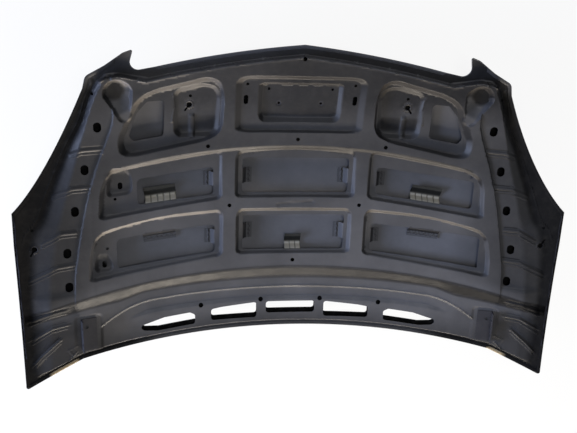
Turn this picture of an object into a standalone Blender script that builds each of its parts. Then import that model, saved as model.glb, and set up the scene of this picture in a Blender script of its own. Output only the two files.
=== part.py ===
"""Car bonnet, lying on its outer skin with the inner panel up.

Metres, +Z up. +X runs across the bonnet, +Y towards its nose, and the origin is
under the middle of the bonnet, at the lowest point of the outer skin.
A pressed skin is hemmed round a pressed inner panel. Heights of the inner panel
are levels above its own edge flange, so they follow the crown of the skin.
"""
import bmesh
import bpy
import numpy as np
from math import cos, hypot, pi, radians, sin
from mathutils import Matrix, Vector
from mathutils.geometry import delaunay_2d_cdt

# Sheet stock and the gap that touching sheets keep
SKIN_SHEET = 0.0008
PANEL_SHEET = 0.0008
SHEET_GAP = 0.0005
SEAT_GAP = 0.0003
HEM_FOLD = 2 * SKIN_SHEET + PANEL_SHEET + 2 * SHEET_GAP

# Outline of the skin, right half (x, y)
HALF_WIDTH = 0.760
HALF_LENGTH = 0.4765
NOSE_FALL = 0.1014
NOSE_BOW = 0.168
NOSE_END_X = 0.396
NOTCH_CORNER = (0.458, 0.3985)
HORN_TIP = (0.4405, 0.4590)
HORN_BACK = (0.4660, 0.4495)
HORN_HOLLOW = (0.5120, 0.4165)
FRONT_CORNER = (0.5615, 0.3885)
DIAGONAL_START = (0.5700, 0.3560)
DIAGONAL_PULL = (0.6820, 0.1080)
DIAGONAL_END_Y = 0.0300
DIAGONAL_STEPS = 8
SIDE_END_Y = -0.0600
REAR_CORNER_X = HALF_WIDTH - 0.011
REAR_CORNER_REACH = 0.0026
REAR_STRAIGHT_X = 0.600
REAR_MIDDLE_Y = -0.3655
REAR_BOW = 0.146
NOTCH_RADIUS = 0.020
HORN_RADIUS = 0.004
HORN_BACK_RADIUS = 0.018
HORN_HOLLOW_RADIUS = 0.060
CORNER_RADIUS = 0.022
REAR_CORNER_RADIUS = 0.0065
OUTLINE_STEP = 0.048

# Crown of the skin: height over the lowest point
CROWN_ACROSS = 0.2016
CROWN_EDGE = 0.0889
CROWN_ALONG = 0.1251
CROWN_NOSE = 0.5240
CROWN_LOW_Y = -0.0365
CROWN_NOSE_Y = 0.1135

# Hem lip folded back over the inner panel
LIP_WIDTH = 0.0095
LIP_AT_HORN = 0.0024
HORN_ZONE_X = 0.055
HORN_ZONE_Y = 0.015

# Levels of the inner panel above its flange
GRID_LEVEL = 0.0300
STRIP_LEVEL = 0.0220
REAR_STEP_LEVEL = 0.0140
SLOT_LEVEL = 0.0100
RECESS_LEVEL = 0.0180
STRIKER_LEVEL = 0.0210
LATCH_LEVEL = 0.0120
POCKET_LEVEL = 0.0160
KEY_FLOOR_LEVEL = 0.0090
CUP_LEVEL = 0.0060
HINGE_LEVEL = 0.0120
FOOT_LEVEL = 0.0030
RIB_HEIGHT = 0.0025

# Lines of the raised field of the inner panel: (inset from the half width, y)
FLANGE_INSETS = [(0.223, 0.372), (0.204, 0.331), (0.182, 0.266), (0.142, 0.190), (0.092, 0.071),
                 (0.067, 0.005), (0.026, -0.082), (0.022, -0.400), (0.028, -0.440)]
SLOPE_TOP_INSETS = [(0.240, 0.366), (0.220, 0.325), (0.196, 0.258), (0.162, 0.139), (0.149, 0.095),
                    (0.121, -0.018), (0.105, -0.110), (0.093, -0.179), (0.087, -0.425)]
STRIP_INSETS = [(0.260, 0.330), (0.258, 0.268), (0.238, 0.208), (0.211, 0.137), (0.179, 0.022),
                (0.154, -0.116), (0.146, -0.187), (0.142, -0.400)]
FLANGE_LINE = [(HALF_WIDTH - inset, y) for inset, y in FLANGE_INSETS]
SLOPE_TOP_LINE = [(HALF_WIDTH - inset, y) for inset, y in SLOPE_TOP_INSETS]
STRIP_LINE = [(HALF_WIDTH - inset, y) for inset, y in STRIP_INSETS]
NOSE_FLANGE = 0.0270
HORN_LIFT = 0.0330
HORN_LIFT_X = (0.400, 0.490)
NOSE_RAMP = 0.0140
STRIP_STEP = 0.0060
STRIP_END_Y = -0.190
STRIP_DROP = 0.0045
REAR_FLANGE = 0.0150
REAR_RAMP = 0.0060
FIELD_CORNER_ROUND = 1.6

# Rear band, as y at the middle and at the side, and how it bows
BAND_TOP_Y = -0.168
BAND_BOTTOM_Y = -0.211
BAND_TOP_BOW = 0.175
BAND_BOTTOM_BOW = 0.125
BAND_BOTTOM_DIP = 0.0140
BAND_BOTTOM_DIP_X = (0.420, 0.500)
RIDGE_Y = -0.2375
RIDGE_BOW = 0.120
RIDGE_RAMP = 0.0060
RIDGE_CURL_X = 0.400
RIDGE_CURL = 2.3

# Recesses of the rib grid and the openings in them, right half or across the middle
RECESS_WALL_FRONT = 0.0140
RECESS_WALL_REAR = 0.0070
RECESS_WALL_SIDE = 0.0110
RECESS_ROUND = 2.0
OPENING_ROUND = 0.011
ROW_1_MIDDLE = [(-0.173, 0.0395), (0.173, 0.0395), (0.173, 0.1790), (0.0, 0.1960), (-0.173, 0.1790)]
ROW_1_SIDE = [(0.207, 0.0370), (0.545, -0.0090), (0.536, 0.1050), (0.505, 0.1360), (0.340, 0.1685),
              (0.207, 0.1860)]
ROW_2_MIDDLE = [(-0.1685, -0.1300), (0.1685, -0.1300), (0.1685, 0.0100), (-0.1685, 0.0100)]
ROW_2_SIDE = [(0.2035, -0.1330), (0.575, -0.1860), (0.573, -0.0900), (0.552, -0.0440), (0.430, -0.0070),
              (0.2035, 0.0090)]
ROW_1_MIDDLE_OPENING = [(-0.152, 0.0535), (0.152, 0.0535), (0.152, 0.1555), (-0.152, 0.1555)]
ROW_1_LEFT_OPENING = [(-0.442, 0.0275), (-0.233, 0.0495), (-0.233, 0.1305), (-0.442, 0.1005)]
ROW_1_RIGHT_OPENING = [(0.233, 0.0495), (0.510, 0.0175), (0.510, 0.0995), (0.233, 0.1305)]
ROW_2_MIDDLE_OPENING = [(-0.148, -0.1195), (0.148, -0.1195), (0.148, -0.0145), (-0.148, -0.0145)]
ROW_2_LEFT_OPENING = [(-0.500, -0.1545), (-0.228, -0.1235), (-0.228, -0.0395), (-0.500, -0.0675)]
ROW_2_RIGHT_OPENING = [(0.228, -0.1235), (0.543, -0.1605), (0.543, -0.0665), (0.228, -0.0395)]

# Striker recess at the nose, and the deeper latch floor in it
STRIKER_HALF = 0.180
STRIKER_REAR_Y = 0.2305
STRIKER_FRONT_Y = 0.3945
STRIKER_PEAK_Y = 0.4015
STRIKER_WALL_SIDE = 0.0220
STRIKER_WALL_FRONT = 0.0135
STRIKER_WALL_REAR = 0.0080
LATCH_HALF = 0.116
LATCH_REAR_Y = 0.2575
LATCH_FRONT_Y = 0.3725
LATCH_WALL = 0.0140
LATCH_WALL_REAR = 0.0180
LATCH_WALL_FRONT = 0.0050
STRIKER_ROUND = 2.0
LATCH_ROUND = 1.6

# Flanking front pockets with their openings, and the teardrop cups
POCKET = [(0.210, 0.2320), (0.235, 0.2100), (0.480, 0.1600), (0.505, 0.1900), (0.477, 0.2850),
          (0.438, 0.3430), (0.232, 0.3950), (0.203, 0.3560)]
POCKET_WALL = 0.0100
POCKET_WALL_FRONT = 0.0145
POCKET_WALL_OUTER = 0.0230
POCKET_OUTER_X = 0.450
POCKET_ROUND = 2.2
POCKET_OPENING = [(0.369, 0.2220), (0.450, 0.2090), (0.460, 0.2260), (0.437, 0.2880), (0.410, 0.3190),
                  (0.365, 0.3220)]
KEY_FLOOR = [(0.228, 0.2200), (0.344, 0.2130), (0.345, 0.3500), (0.250, 0.3600), (0.222, 0.3400)]
KEY_FLOOR_WALL = 0.0110
KEY_FLOOR_ROUND = 1.8
KEY_STEP_LEVEL = 0.0045
KEY_STEP_Y = (0.2320, 0.2800)
CUP_CENTRE = (0.482, 0.3430)
CUP_TAIL = (0.468, 0.2830)
CUP_FLAT_RADIUS = 0.0245
CUP_WALL = 0.0150
CUP_TAIL_RADIUS = 0.0200

# Slots at the rear, right half or across the middle
SLOT_MIDDLE = [(-0.073, -0.3210), (0.073, -0.3210), (0.073, -0.2855), (-0.073, -0.2855)]
SLOT_NEXT = [(0.101, -0.3340), (0.236, -0.3370), (0.236, -0.3030), (0.205, -0.2975), (0.101, -0.2865)]
SLOT_OUTER = [(0.283, -0.3440), (0.390, -0.3560), (0.428, -0.3530), (0.448, -0.3400), (0.372, -0.3170),
              (0.298, -0.3085), (0.283, -0.3160)]
SLOT_ROUND = 0.0080
SLOT_MARGIN = 0.002

# Round, oblong and keyhole openings: (x, y) on the right half
SMALL_HOLE_RADIUS = 0.0040
RIB_HOLE_RADIUS = 0.0055
DRAIN_HOLE_RADIUS = 0.0070
STUD_HOLE_RADIUS = 0.0080
KEYHOLE_RADIUS = 0.0070
KEYHOLE_SLIT = 0.0150
KEYHOLE_SLIT_WIDTH = 0.0050
KEYHOLE_STEPS = 10
OBLONG_WIDTH = 0.0200
OBLONG_LENGTH = 0.0280
OBLONG_HOLES = [(0.538, 0.2525), (0.575, 0.1365), (0.604, 0.0225), (0.628, -0.0935), (0.627, -0.1915)]
LATCH_STUD_HOLE = (0.058, 0.3135)
LATCH_FRONT_HOLE = (0.087, 0.3540)
SMALL_HOLES = [(0.547, 0.3415), (0.715, -0.0235), (0.146, 0.3685), (0.297, 0.3330), LATCH_FRONT_HOLE]
RIB_HOLES = [(0.249, 0.1925), (0.187, 0.0185)]
MIDDLE_HOLES = [(0.0, 0.4405), (0.0, 0.2115), (0.0, -0.1500)]
DRAIN_HOLES = [(0.089, -0.2785), (0.266, -0.2885)]
STUD_HOLES = [LATCH_STUD_HOLE]
SLOT_HOLES = [(0.149, 0.3245)]
SLOT_HOLE_SIZE = (0.0120, 0.0260)
KEYHOLES = [((0.711, -0.0765), radians(60)), ((-0.711, -0.0765), radians(240)),
            ((0.300, 0.3080), radians(-55)), ((-0.300, 0.3080), radians(235))]
LEFT_PADS = [[(-0.524, 0.052), (-0.456, 0.058), (-0.449, 0.100), (-0.462, 0.138), (-0.517, 0.141)],
             [(-0.560, -0.163), (-0.507, -0.160), (-0.514, -0.106), (-0.560, -0.102)]]
LEFT_PAD_LEVEL = 0.0110
LEFT_PAD_WALL = 0.0090
LEFT_PAD_RAMP = 0.0250
LEFT_PAD_ROUND = 1.8
LEFT_HOLES = [(-0.5005, 0.0480), (-0.5250, -0.0925)]
LEFT_SLOTS = [(-0.487, 0.0830), (-0.534, -0.1400)]
LEFT_SLOT_SIZE = (0.0180, 0.0200)
RIGHT_HOLES = [(0.500, 0.1130), (0.540, -0.1560)]

# Ribs pressed across the side strip and its slope, right half
CROSS_RIBS = [[(0.528, 0.1915), (0.581, 0.1900), (0.609, 0.1780)],
              [(0.563, 0.0865), (0.609, 0.0860), (0.658, 0.0670)],
              [(0.603, -0.0370), (0.642, -0.0370), (0.690, -0.0630)],
              [(0.609, -0.1290), (0.655, -0.1315), (0.728, -0.1660)],
              [(0.640, -0.2600), (0.676, -0.2630), (0.732, -0.2850)],
              [(0.640, -0.3040), (0.676, -0.3080), (0.730, -0.3400)],
              [(0.655, -0.3450), (0.702, -0.3850), (0.722, -0.4060)]]
RIB_HALF_WIDTH = 0.0065

# Hinge seats, brackets and the plates behind the inner panel
HINGE_CENTRE = (0.581, -0.3400)
HINGE_SEAT_SIZE = (0.080, 0.118)
HINGE_SEAT_BLEND = 0.0100
HINGE_SEAT_ROUND = 1.5
BRACKET_SHEET = 0.0030
BRACKET_BASE = (0.044, 0.092)
BRACKET_EAR_HEIGHT = 0.030
BRACKET_HOLE_RADIUS = 0.0050
BRACKET_HOLE_SPACING = 0.046
BRACKET_HOLE_HEIGHT = 0.0186
BRACKET_BASE_HOLE_X = 0.006
BRACKET_BASE_HOLE_Y = 0.022
REINFORCEMENT_SHEET = 0.0015
REINFORCEMENT_MARGIN = 0.003
REINFORCEMENT_CORNER = 0.006
LATCH_PLATE_MARGIN = 0.004
NUT_SIZE = 0.015
NUT_HEIGHT = 0.006
NUT_BORE_RADIUS = 0.0042
LATCH_NUTS = [LATCH_STUD_HOLE, LATCH_FRONT_HOLE]

# Tongues that reach down to the skin inside the openings, and their mastic pads:
# (edge point, direction into the opening, width, length)
TONGUE_DROP = 0.0130
PAD_SIZE = (0.020, 0.008)
PAD_ROUND = 0.0025
PAD_SEAT = 0.0004
END_TONGUES = [((0.152, 0.1020), (-1, 0), 0.044), ((-0.152, 0.1020), (1, 0), 0.044),
               ((0.233, 0.0940), (1, 0), 0.040), ((-0.233, 0.0940), (-1, 0), 0.040),
               ((0.148, -0.0640), (-1, 0), 0.046), ((-0.148, -0.0640), (1, 0), 0.046),
               ((0.228, -0.0780), (1, 0), 0.042), ((-0.228, -0.0780), (-1, 0), 0.042)]
END_TONGUE_LENGTH = 0.028
REAR_TONGUES = [((0.378, 0.0327), (0.1150, 1), 0.086), ((-0.378, 0.0342), (-0.1050, 1), 0.086),
                ((0.0, -0.1195), (0, 1), 0.048)]
REAR_TONGUE_LENGTH = 0.044
REAR_TONGUE_VALLEY = 0.0220
REAR_TONGUE_RISE = 0.0360
REAR_TONGUE_LEVEL = 0.0120
FRONT_TONGUES = [((0.385, -0.0530), (-0.0860, -1), 0.090), ((-0.385, -0.0557), (0.1029, -1), 0.090)]
FRONT_TONGUE_LENGTH = 0.028

# Sealer bead on the hem of each side
BEAD_RADIUS = 0.0016
BEAD_LIFT = 0.0017
BEAD_INSET = 0.0065
BEAD_FRONT_Y = 0.020
BEAD_REAR_Y = -0.385
BEAD_WAVE = 0.0008
BEAD_WAVE_LENGTH = 0.060

# Mesh density of the pressed sheets
PANEL_GRID = 0.112
SKIN_GRID = 0.090
RING_STEP = 0.090
RING_TOLERANCE = 0.0028
RING_LEVEL = 0.001
RAYS = 360
RAY_REACH = 0.45
RAY_HALVINGS = 34
CLEAR_OF_RING = 0.45
FLANGE_STEP = 0.028
FLANGE_CLEAR = 0.007
FLANGE_LINE_STEP = 0.041
FIELD_LINE_STEP = 0.066
HORN_REACH = 0.550
MERGE = 0.0006
WELD = 1e-5
HOLE_FACET = 0.0048
EDGE_TURN = radians(24)
SLOT_TURN = radians(45)
OPENING_TURN = radians(40)
PLATE_TURN = radians(30)
PAD_TURN = radians(90)
DRILL_SIDES = 16

# Where the fold lines across the field end, as half widths
BAND_END_X = 0.600
RIDGE_END_X = 0.540
NOSE_RAMP_END_X = 0.500
REAR_RAMP_END_X = 0.700
REAR_FLANGE_END_X = 0.722

PAINT = (0.060, 0.060, 0.066)
NUT_COLOUR = (0.45, 0.45, 0.46)
MASTIC_COLOUR = (0.03, 0.03, 0.03)
SEALER_COLOUR = (0.42, 0.42, 0.40)


def smooth(t):
    """Ease from 0 to 1 with level ends."""
    t = np.clip(t, 0.0, 1.0)
    return t * t * (3.0 - 2.0 * t)


def skin_z(x, y):
    """Height of the outer face of the skin."""
    nose = np.maximum(y - CROWN_NOSE_Y, 0.0)
    along = y - CROWN_LOW_Y
    return CROWN_ACROSS * x**2 + CROWN_EDGE * x**4 + CROWN_ALONG * along**2 + CROWN_NOSE * nose**2


def panel_z(x, y):
    """Height of the lower face of the inner panel at level 0."""
    return skin_z(x, y) + SKIN_SHEET + SHEET_GAP


def tangent_plane(x0, y0):
    """The plane that touches the crown at one place, as height and two slopes."""
    step = 0.001
    slope_x = (skin_z(x0 + step, y0) - skin_z(x0 - step, y0)) / (2 * step)
    slope_y = (skin_z(x0, y0 + step) - skin_z(x0, y0 - step)) / (2 * step)
    return float(skin_z(x0, y0)), float(slope_x), float(slope_y)


def flat_level(x, y, x0, y0, level):
    """Level that makes the panel truly flat round (x0, y0)."""
    z0, slope_x, slope_y = tangent_plane(x0, y0)
    return z0 + slope_x * (x - x0) + slope_y * (y - y0) + level - skin_z(x, y)


def line_x(points, y):
    """x of a line given from front to rear, at each y."""
    xs, ys = zip(*points)
    return np.interp(-y, [-v for v in ys], xs)


def side_x(y):
    """Side edge of the skin, behind the place where the diagonal ends."""
    rear = -HALF_LENGTH - REAR_CORNER_REACH
    return float(np.interp(y, (rear, SIDE_END_Y), (REAR_CORNER_X, HALF_WIDTH)))


def nose_y(x):
    """Front edge of the skin."""
    return HALF_LENGTH - NOSE_FALL * x - NOSE_BOW * x**2


def nose_fold_y(x):
    """Line where the nose flange ends and the panel starts to rise."""
    start, end = HORN_LIFT_X
    return nose_y(x) - NOSE_FLANGE + HORN_LIFT * smooth((x - start) / (end - start))


def rear_y(x):
    """Rear edge of the skin, with straight ends."""
    bowed = REAR_MIDDLE_Y - REAR_BOW * x**2
    start = REAR_MIDDLE_Y - REAR_BOW * REAR_STRAIGHT_X**2
    share = (x - REAR_STRAIGHT_X) / (REAR_CORNER_X - REAR_STRAIGHT_X)
    return np.where(x < REAR_STRAIGHT_X, bowed, start + (-HALF_LENGTH - start) * share)


def walled(x, y, corners, widths, roundness):
    """How far inside a convex outline a point is, in wall widths.

    0 on the rim and 1 at the foot of the wall. corners run counter-clockwise.
    """
    total = 0.0
    for start, end, width in zip(corners, corners[1:] + corners[:1], widths):
        run = (end[0] - start[0], end[1] - start[1])
        inward = (run[0] * (y - start[1]) - run[1] * (x - start[0])) / hypot(*run)
        total = total + np.maximum(roundness - inward / width, 0.0)**2
    return roundness - np.sqrt(total)


def mirrored(corners):
    """The same convex outline on the other side."""
    return [(-x, y) for x, y in reversed(corners)]


def recess_widths(corners):
    """Wall width of each side of a grid recess: steep behind, gentle in front."""
    widths = []
    for start, end in zip(corners, corners[1:] + corners[:1]):
        run_x, run_y = end[0] - start[0], end[1] - start[1]
        side = RECESS_WALL_FRONT if run_x < 0 else RECESS_WALL_REAR
        widths.append(RECESS_WALL_SIDE if abs(run_y) > abs(run_x) else side)
    return widths


def pocket_widths(corners):
    """Wall width of each side of a front pocket: wide in front and on the outside."""
    widths = []
    for start, end in zip(corners, corners[1:] + corners[:1]):
        front = POCKET_WALL_FRONT if end[0] < start[0] else POCKET_WALL
        outside = abs(start[0] + end[0]) / 2 > POCKET_OUTER_X
        widths.append(POCKET_WALL_OUTER if outside else front)
    return widths


def key_floor_level(y):
    """Level of the keyhole's floor, with the ramp down behind it."""
    rear, front = KEY_STEP_Y
    return KEY_STEP_LEVEL + (KEY_FLOOR_LEVEL - KEY_STEP_LEVEL) * smooth((y - rear) / (front - rear))


def pebble(x, y, start, end, radius_start, radius_end, wall):
    """Inside measure of a teardrop between two circles."""
    run_x, run_y = end[0] - start[0], end[1] - start[1]
    share = ((x - start[0]) * run_x + (y - start[1]) * run_y) / (run_x**2 + run_y**2)
    share = np.clip(share, 0.0, 1.0)
    radius = radius_start + (radius_end - radius_start) * share
    away = np.hypot(x - start[0] - run_x * share, y - start[1] - run_y * share)
    return (radius - away) / wall


def rib_measure(x, y, points):
    """Inside measure of a rib that follows a bent line."""
    best = np.full(np.shape(x), -9.0)
    for start, end in zip(points, points[1:]):
        inside = pebble(x, y, start, end, RIB_HALF_WIDTH, RIB_HALF_WIDTH, RIB_HALF_WIDTH)
        best = np.maximum(best, inside)
    return best


def ridge_y(x):
    """The ridge line behind the band, which curls back round the hinges."""
    curl = np.maximum(x - RIDGE_CURL_X, 0.0)
    return RIDGE_Y - RIDGE_BOW * x**2 - RIDGE_CURL * curl**2


def band_bottom_y(x):
    """Lower edge of the rear band, which dips near its ends."""
    start, end = BAND_BOTTOM_DIP_X
    dip = BAND_BOTTOM_DIP * smooth((np.abs(x) - start) / (end - start))
    return BAND_BOTTOM_Y - BAND_BOTTOM_BOW * x**2 - dip


def field_level(x, y):
    """Level of the raised field: grid plateau, side strip, nose and rear zones."""
    x = np.abs(x)
    foot, top = line_x(FLANGE_LINE, y), line_x(SLOPE_TOP_LINE, y)
    from_side = (foot - x) / (foot - top)
    from_nose = (nose_fold_y(x) - y) / NOSE_RAMP
    short_side = np.maximum(FIELD_CORNER_ROUND - from_side, 0)
    short_nose = np.maximum(FIELD_CORNER_ROUND - from_nose, 0)
    edge = FIELD_CORNER_ROUND - np.hypot(short_side, short_nose)
    step = smooth((line_x(STRIP_LINE, y) - x) / STRIP_STEP)
    strip = STRIP_LEVEL - STRIP_DROP * smooth((STRIP_END_Y - y) / STRIP_STEP)
    front = strip + (GRID_LEVEL - strip) * step
    band_top = BAND_TOP_Y - BAND_TOP_BOW * x**2
    band_bottom = band_bottom_y(x)
    band = smooth((y - band_bottom) / (band_top - band_bottom))
    zone = REAR_STEP_LEVEL + (front - REAR_STEP_LEVEL) * band
    ridge = smooth((y - ridge_y(x) + RIDGE_RAMP) / RIDGE_RAMP)
    zone = SLOT_LEVEL + (zone - SLOT_LEVEL) * ridge
    rear = smooth((y - rear_y(x) - REAR_FLANGE) / REAR_RAMP)
    return zone * smooth(edge) * rear


def sunk(level, measure, floor):
    """Carry a level down to a floor inside a walled outline."""
    share = smooth(measure)
    return level * (1.0 - share) + floor * share


def both_sides(corners):
    """An outline of the right half and its twin on the left."""
    return [corners, mirrored(corners)]


def grid_recesses():
    """Outlines of the six recesses between the ribs."""
    return [ROW_1_MIDDLE, ROW_2_MIDDLE] + both_sides(ROW_1_SIDE) + both_sides(ROW_2_SIDE)


def striker_outline():
    """Recess for the striker, with its peaked front edge."""
    return [(-STRIKER_HALF, STRIKER_REAR_Y), (STRIKER_HALF, STRIKER_REAR_Y),
            (STRIKER_HALF, STRIKER_FRONT_Y), (0.0, STRIKER_PEAK_Y), (-STRIKER_HALF, STRIKER_FRONT_Y)]


def latch_outline():
    """Deeper floor in the striker recess."""
    return [(-LATCH_HALF, LATCH_REAR_Y), (LATCH_HALF, LATCH_REAR_Y),
            (LATCH_HALF, LATCH_FRONT_Y), (-LATCH_HALF, LATCH_FRONT_Y)]


def latch_centre():
    """Middle of the flat part of the latch floor."""
    rear = LATCH_REAR_Y + LATCH_WALL_REAR
    front = LATCH_FRONT_Y - LATCH_WALL_FRONT
    return 0.0, (rear + front) / 2


def hinge_outline(side):
    """Flat seat under a hinge bracket."""
    x0, y0 = HINGE_CENTRE
    half_x, half_y = HINGE_SEAT_SIZE[0] / 2, HINGE_SEAT_SIZE[1] / 2
    corners = [(x0 - half_x, y0 - half_y), (x0 + half_x, y0 - half_y),
               (x0 + half_x, y0 + half_y), (x0 - half_x, y0 + half_y)]
    return corners if side > 0 else mirrored(corners)


def forms():
    """Every walled form pressed into the field, in pressing order.

    Each is (measure, floor, centre): measure(x, y) is 0 on the rim and 1 at the
    foot, floor(level, x, y) the level there, and centre a place inside.
    """
    made = []

    def add(corners, widths, roundness, floor):
        def measure(x, y):
            return walled(x, y, corners, widths, roundness)
        centre = tuple(np.mean(corners, axis=0))
        made.append((measure, floor, centre))

    for corners in grid_recesses():
        add(corners, recess_widths(corners), RECESS_ROUND, lambda level, x, y: RECESS_LEVEL)
    striker_widths = [STRIKER_WALL_REAR, STRIKER_WALL_SIDE, STRIKER_WALL_FRONT, STRIKER_WALL_FRONT,
                      STRIKER_WALL_SIDE]
    add(striker_outline(), striker_widths, STRIKER_ROUND, lambda level, x, y: STRIKER_LEVEL)
    add(latch_outline(), [LATCH_WALL_REAR, LATCH_WALL, LATCH_WALL_FRONT, LATCH_WALL], LATCH_ROUND,
        lambda level, x, y: flat_level(x, y, *latch_centre(), LATCH_LEVEL))
    for corners in both_sides(POCKET):
        add(corners, pocket_widths(corners), POCKET_ROUND, lambda level, x, y: POCKET_LEVEL)
    for corners in both_sides(KEY_FLOOR):
        add(corners, [KEY_FLOOR_WALL] * len(corners), KEY_FLOOR_ROUND, lambda level, x, y: key_floor_level(y))
    for corners in LEFT_PADS:
        widths = [LEFT_PAD_WALL] * (len(corners) - 2) + [LEFT_PAD_RAMP, LEFT_PAD_WALL]
        add(corners, widths, LEFT_PAD_ROUND, lambda level, x, y: LEFT_PAD_LEVEL)
    for side in (1, -1):
        centre = (side * CUP_CENTRE[0], CUP_CENTRE[1])
        made.append((cup_measure(side), lambda level, x, y: CUP_LEVEL, centre))
    for side in (1, -1):
        add(hinge_outline(side), [HINGE_SEAT_BLEND] * 4, HINGE_SEAT_ROUND,
            lambda level, x, y, s=side: flat_level(x, y, s * HINGE_CENTRE[0], HINGE_CENTRE[1], HINGE_LEVEL))
    return made


def cup_measure(side):
    """Teardrop cup: a round flat with a tail towards the rear."""
    start, end = (side * CUP_CENTRE[0], CUP_CENTRE[1]), (side * CUP_TAIL[0], CUP_TAIL[1])
    outer = CUP_FLAT_RADIUS + CUP_WALL

    def measure(x, y):
        return pebble(x, y, start, end, outer, CUP_TAIL_RADIUS, CUP_WALL)
    return measure


def all_ribs():
    """Cross ribs of both sides."""
    return CROSS_RIBS + [[(-x, y) for x, y in rib] for rib in CROSS_RIBS]


def tongues():
    """Every tongue in the openings: (edge point, unit direction, width, length)."""
    made = []
    groups = [(END_TONGUES, END_TONGUE_LENGTH), (REAR_TONGUES, REAR_TONGUE_LENGTH),
              (FRONT_TONGUES, FRONT_TONGUE_LENGTH)]
    for group, length in groups:
        for point, direction, width in group:
            size = hypot(*direction)
            made.append((point, (direction[0] / size, direction[1] / size), width, length))
    return made


def tongue_level(level, along, length):
    """Level along a tongue: down to its foot, and up again on the rear ones."""
    sunk_level = sunk(level, along / TONGUE_DROP, FOOT_LEVEL)
    if length < REAR_TONGUE_LENGTH:
        return sunk_level
    rise = np.clip((along - REAR_TONGUE_VALLEY) / (REAR_TONGUE_RISE - REAR_TONGUE_VALLEY), 0.0, 1.0)
    return sunk_level + (REAR_TONGUE_LEVEL - FOOT_LEVEL) * rise


def foot_middle(tongue):
    """Middle of the foot that a tongue sets down."""
    (px, py), (dx, dy), _, length = tongue
    foot_end = REAR_TONGUE_VALLEY if length == REAR_TONGUE_LENGTH else length
    middle = (TONGUE_DROP + foot_end) / 2
    return px + dx * middle, py + dy * middle


def pad_corners(tongue):
    """Corners of the place on the skin that carries a pad."""
    x0, y0 = foot_middle(tongue)
    _, (dx, dy), _, _ = tongue
    across, along = PAD_SIZE[0] / 2 + PAD_SEAT, PAD_SIZE[1] / 2 + PAD_SEAT
    return [(x0 + s * across * dy + t * along * dx, y0 - s * across * dx + t * along * dy)
            for s, t in ((-1, -1), (1, -1), (1, 1), (-1, 1))]


def tongue_folds():
    """Lines across each tongue where it bends."""
    made = []
    for (px, py), (dx, dy), width, length in tongues():
        places = [TONGUE_DROP]
        if length == REAR_TONGUE_LENGTH:
            places += [REAR_TONGUE_VALLEY, REAR_TONGUE_RISE]
        for place in places:
            mid = (px + dx * place, py + dy * place)
            made.append([(mid[0] + dy * width / 2, mid[1] - dx * width / 2),
                         (mid[0] - dy * width / 2, mid[1] + dx * width / 2)])
    return made


def tongue_outline(tongue, start):
    """Corners of a tongue from its root, start behind the opening's edge."""
    (px, py), (dx, dy), width, length = tongue
    half = width / 2
    near = (px + dx * start, py + dy * start)
    far = (px + dx * length, py + dy * length)
    return [(near[0] + dy * half, near[1] - dx * half), (far[0] + dy * half, far[1] - dx * half),
            (far[0] - dy * half, far[1] + dx * half), (near[0] - dy * half, near[1] + dx * half)]


def panel_level(x, y):
    """Level of the inner panel, with all forms pressed in."""
    level = field_level(x, y)
    for measure, floor, _ in forms():
        level = sunk(level, measure(x, y), floor(level, x, y))
    for rib in all_ribs():
        level = level + RIB_HEIGHT * smooth(rib_measure(x, y, rib)) * (level > FOOT_LEVEL)
    for (px, py), (dx, dy), width, length in tongues():
        along = (x - px) * dx + (y - py) * dy
        across = np.abs((x - px) * dy - (y - py) * dx)
        inside = (across < width / 2 + MERGE) & (along > -MERGE) & (along < length + MERGE)
        level = np.where(inside, tongue_level(level, along, length), level)
    return level


def filleted(corners, radii, turn=EDGE_TURN):
    """Outline with its corners rounded by arcs. A radius of 0 keeps a point."""
    points = []
    count = len(corners)
    for i, radius in enumerate(radii):
        here = Vector(corners[i])
        if radius == 0:
            points.append(corners[i])
            continue
        back = Vector(corners[i - 1]) - here
        on = Vector(corners[(i + 1) % count]) - here
        half = back.angle(on) / 2
        reach = radius * cos(half) / sin(half)
        centre = here + (back.normalized() + on.normalized()).normalized() * radius / sin(half)
        first, last = here + back.normalized() * reach, here + on.normalized() * reach
        sweep = (first - centre).angle_signed(last - centre)
        steps = max(1, round(abs(sweep) / turn))
        for k in range(steps + 1):
            angle = -sweep * k / steps
            arm = first - centre
            points.append((centre.x + arm.x * cos(angle) - arm.y * sin(angle),
                           centre.y + arm.x * sin(angle) + arm.y * cos(angle)))
    return points


def split_long(points, longest):
    """Closed outline with extra points on its long sides."""
    made = []
    for start, end in zip(points, points[1:] + points[:1]):
        pieces = max(1, round(hypot(end[0] - start[0], end[1] - start[1]) / longest))
        for k in range(pieces):
            share = k / pieces
            made.append((start[0] + (end[0] - start[0]) * share, start[1] + (end[1] - start[1]) * share))
    return made


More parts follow.
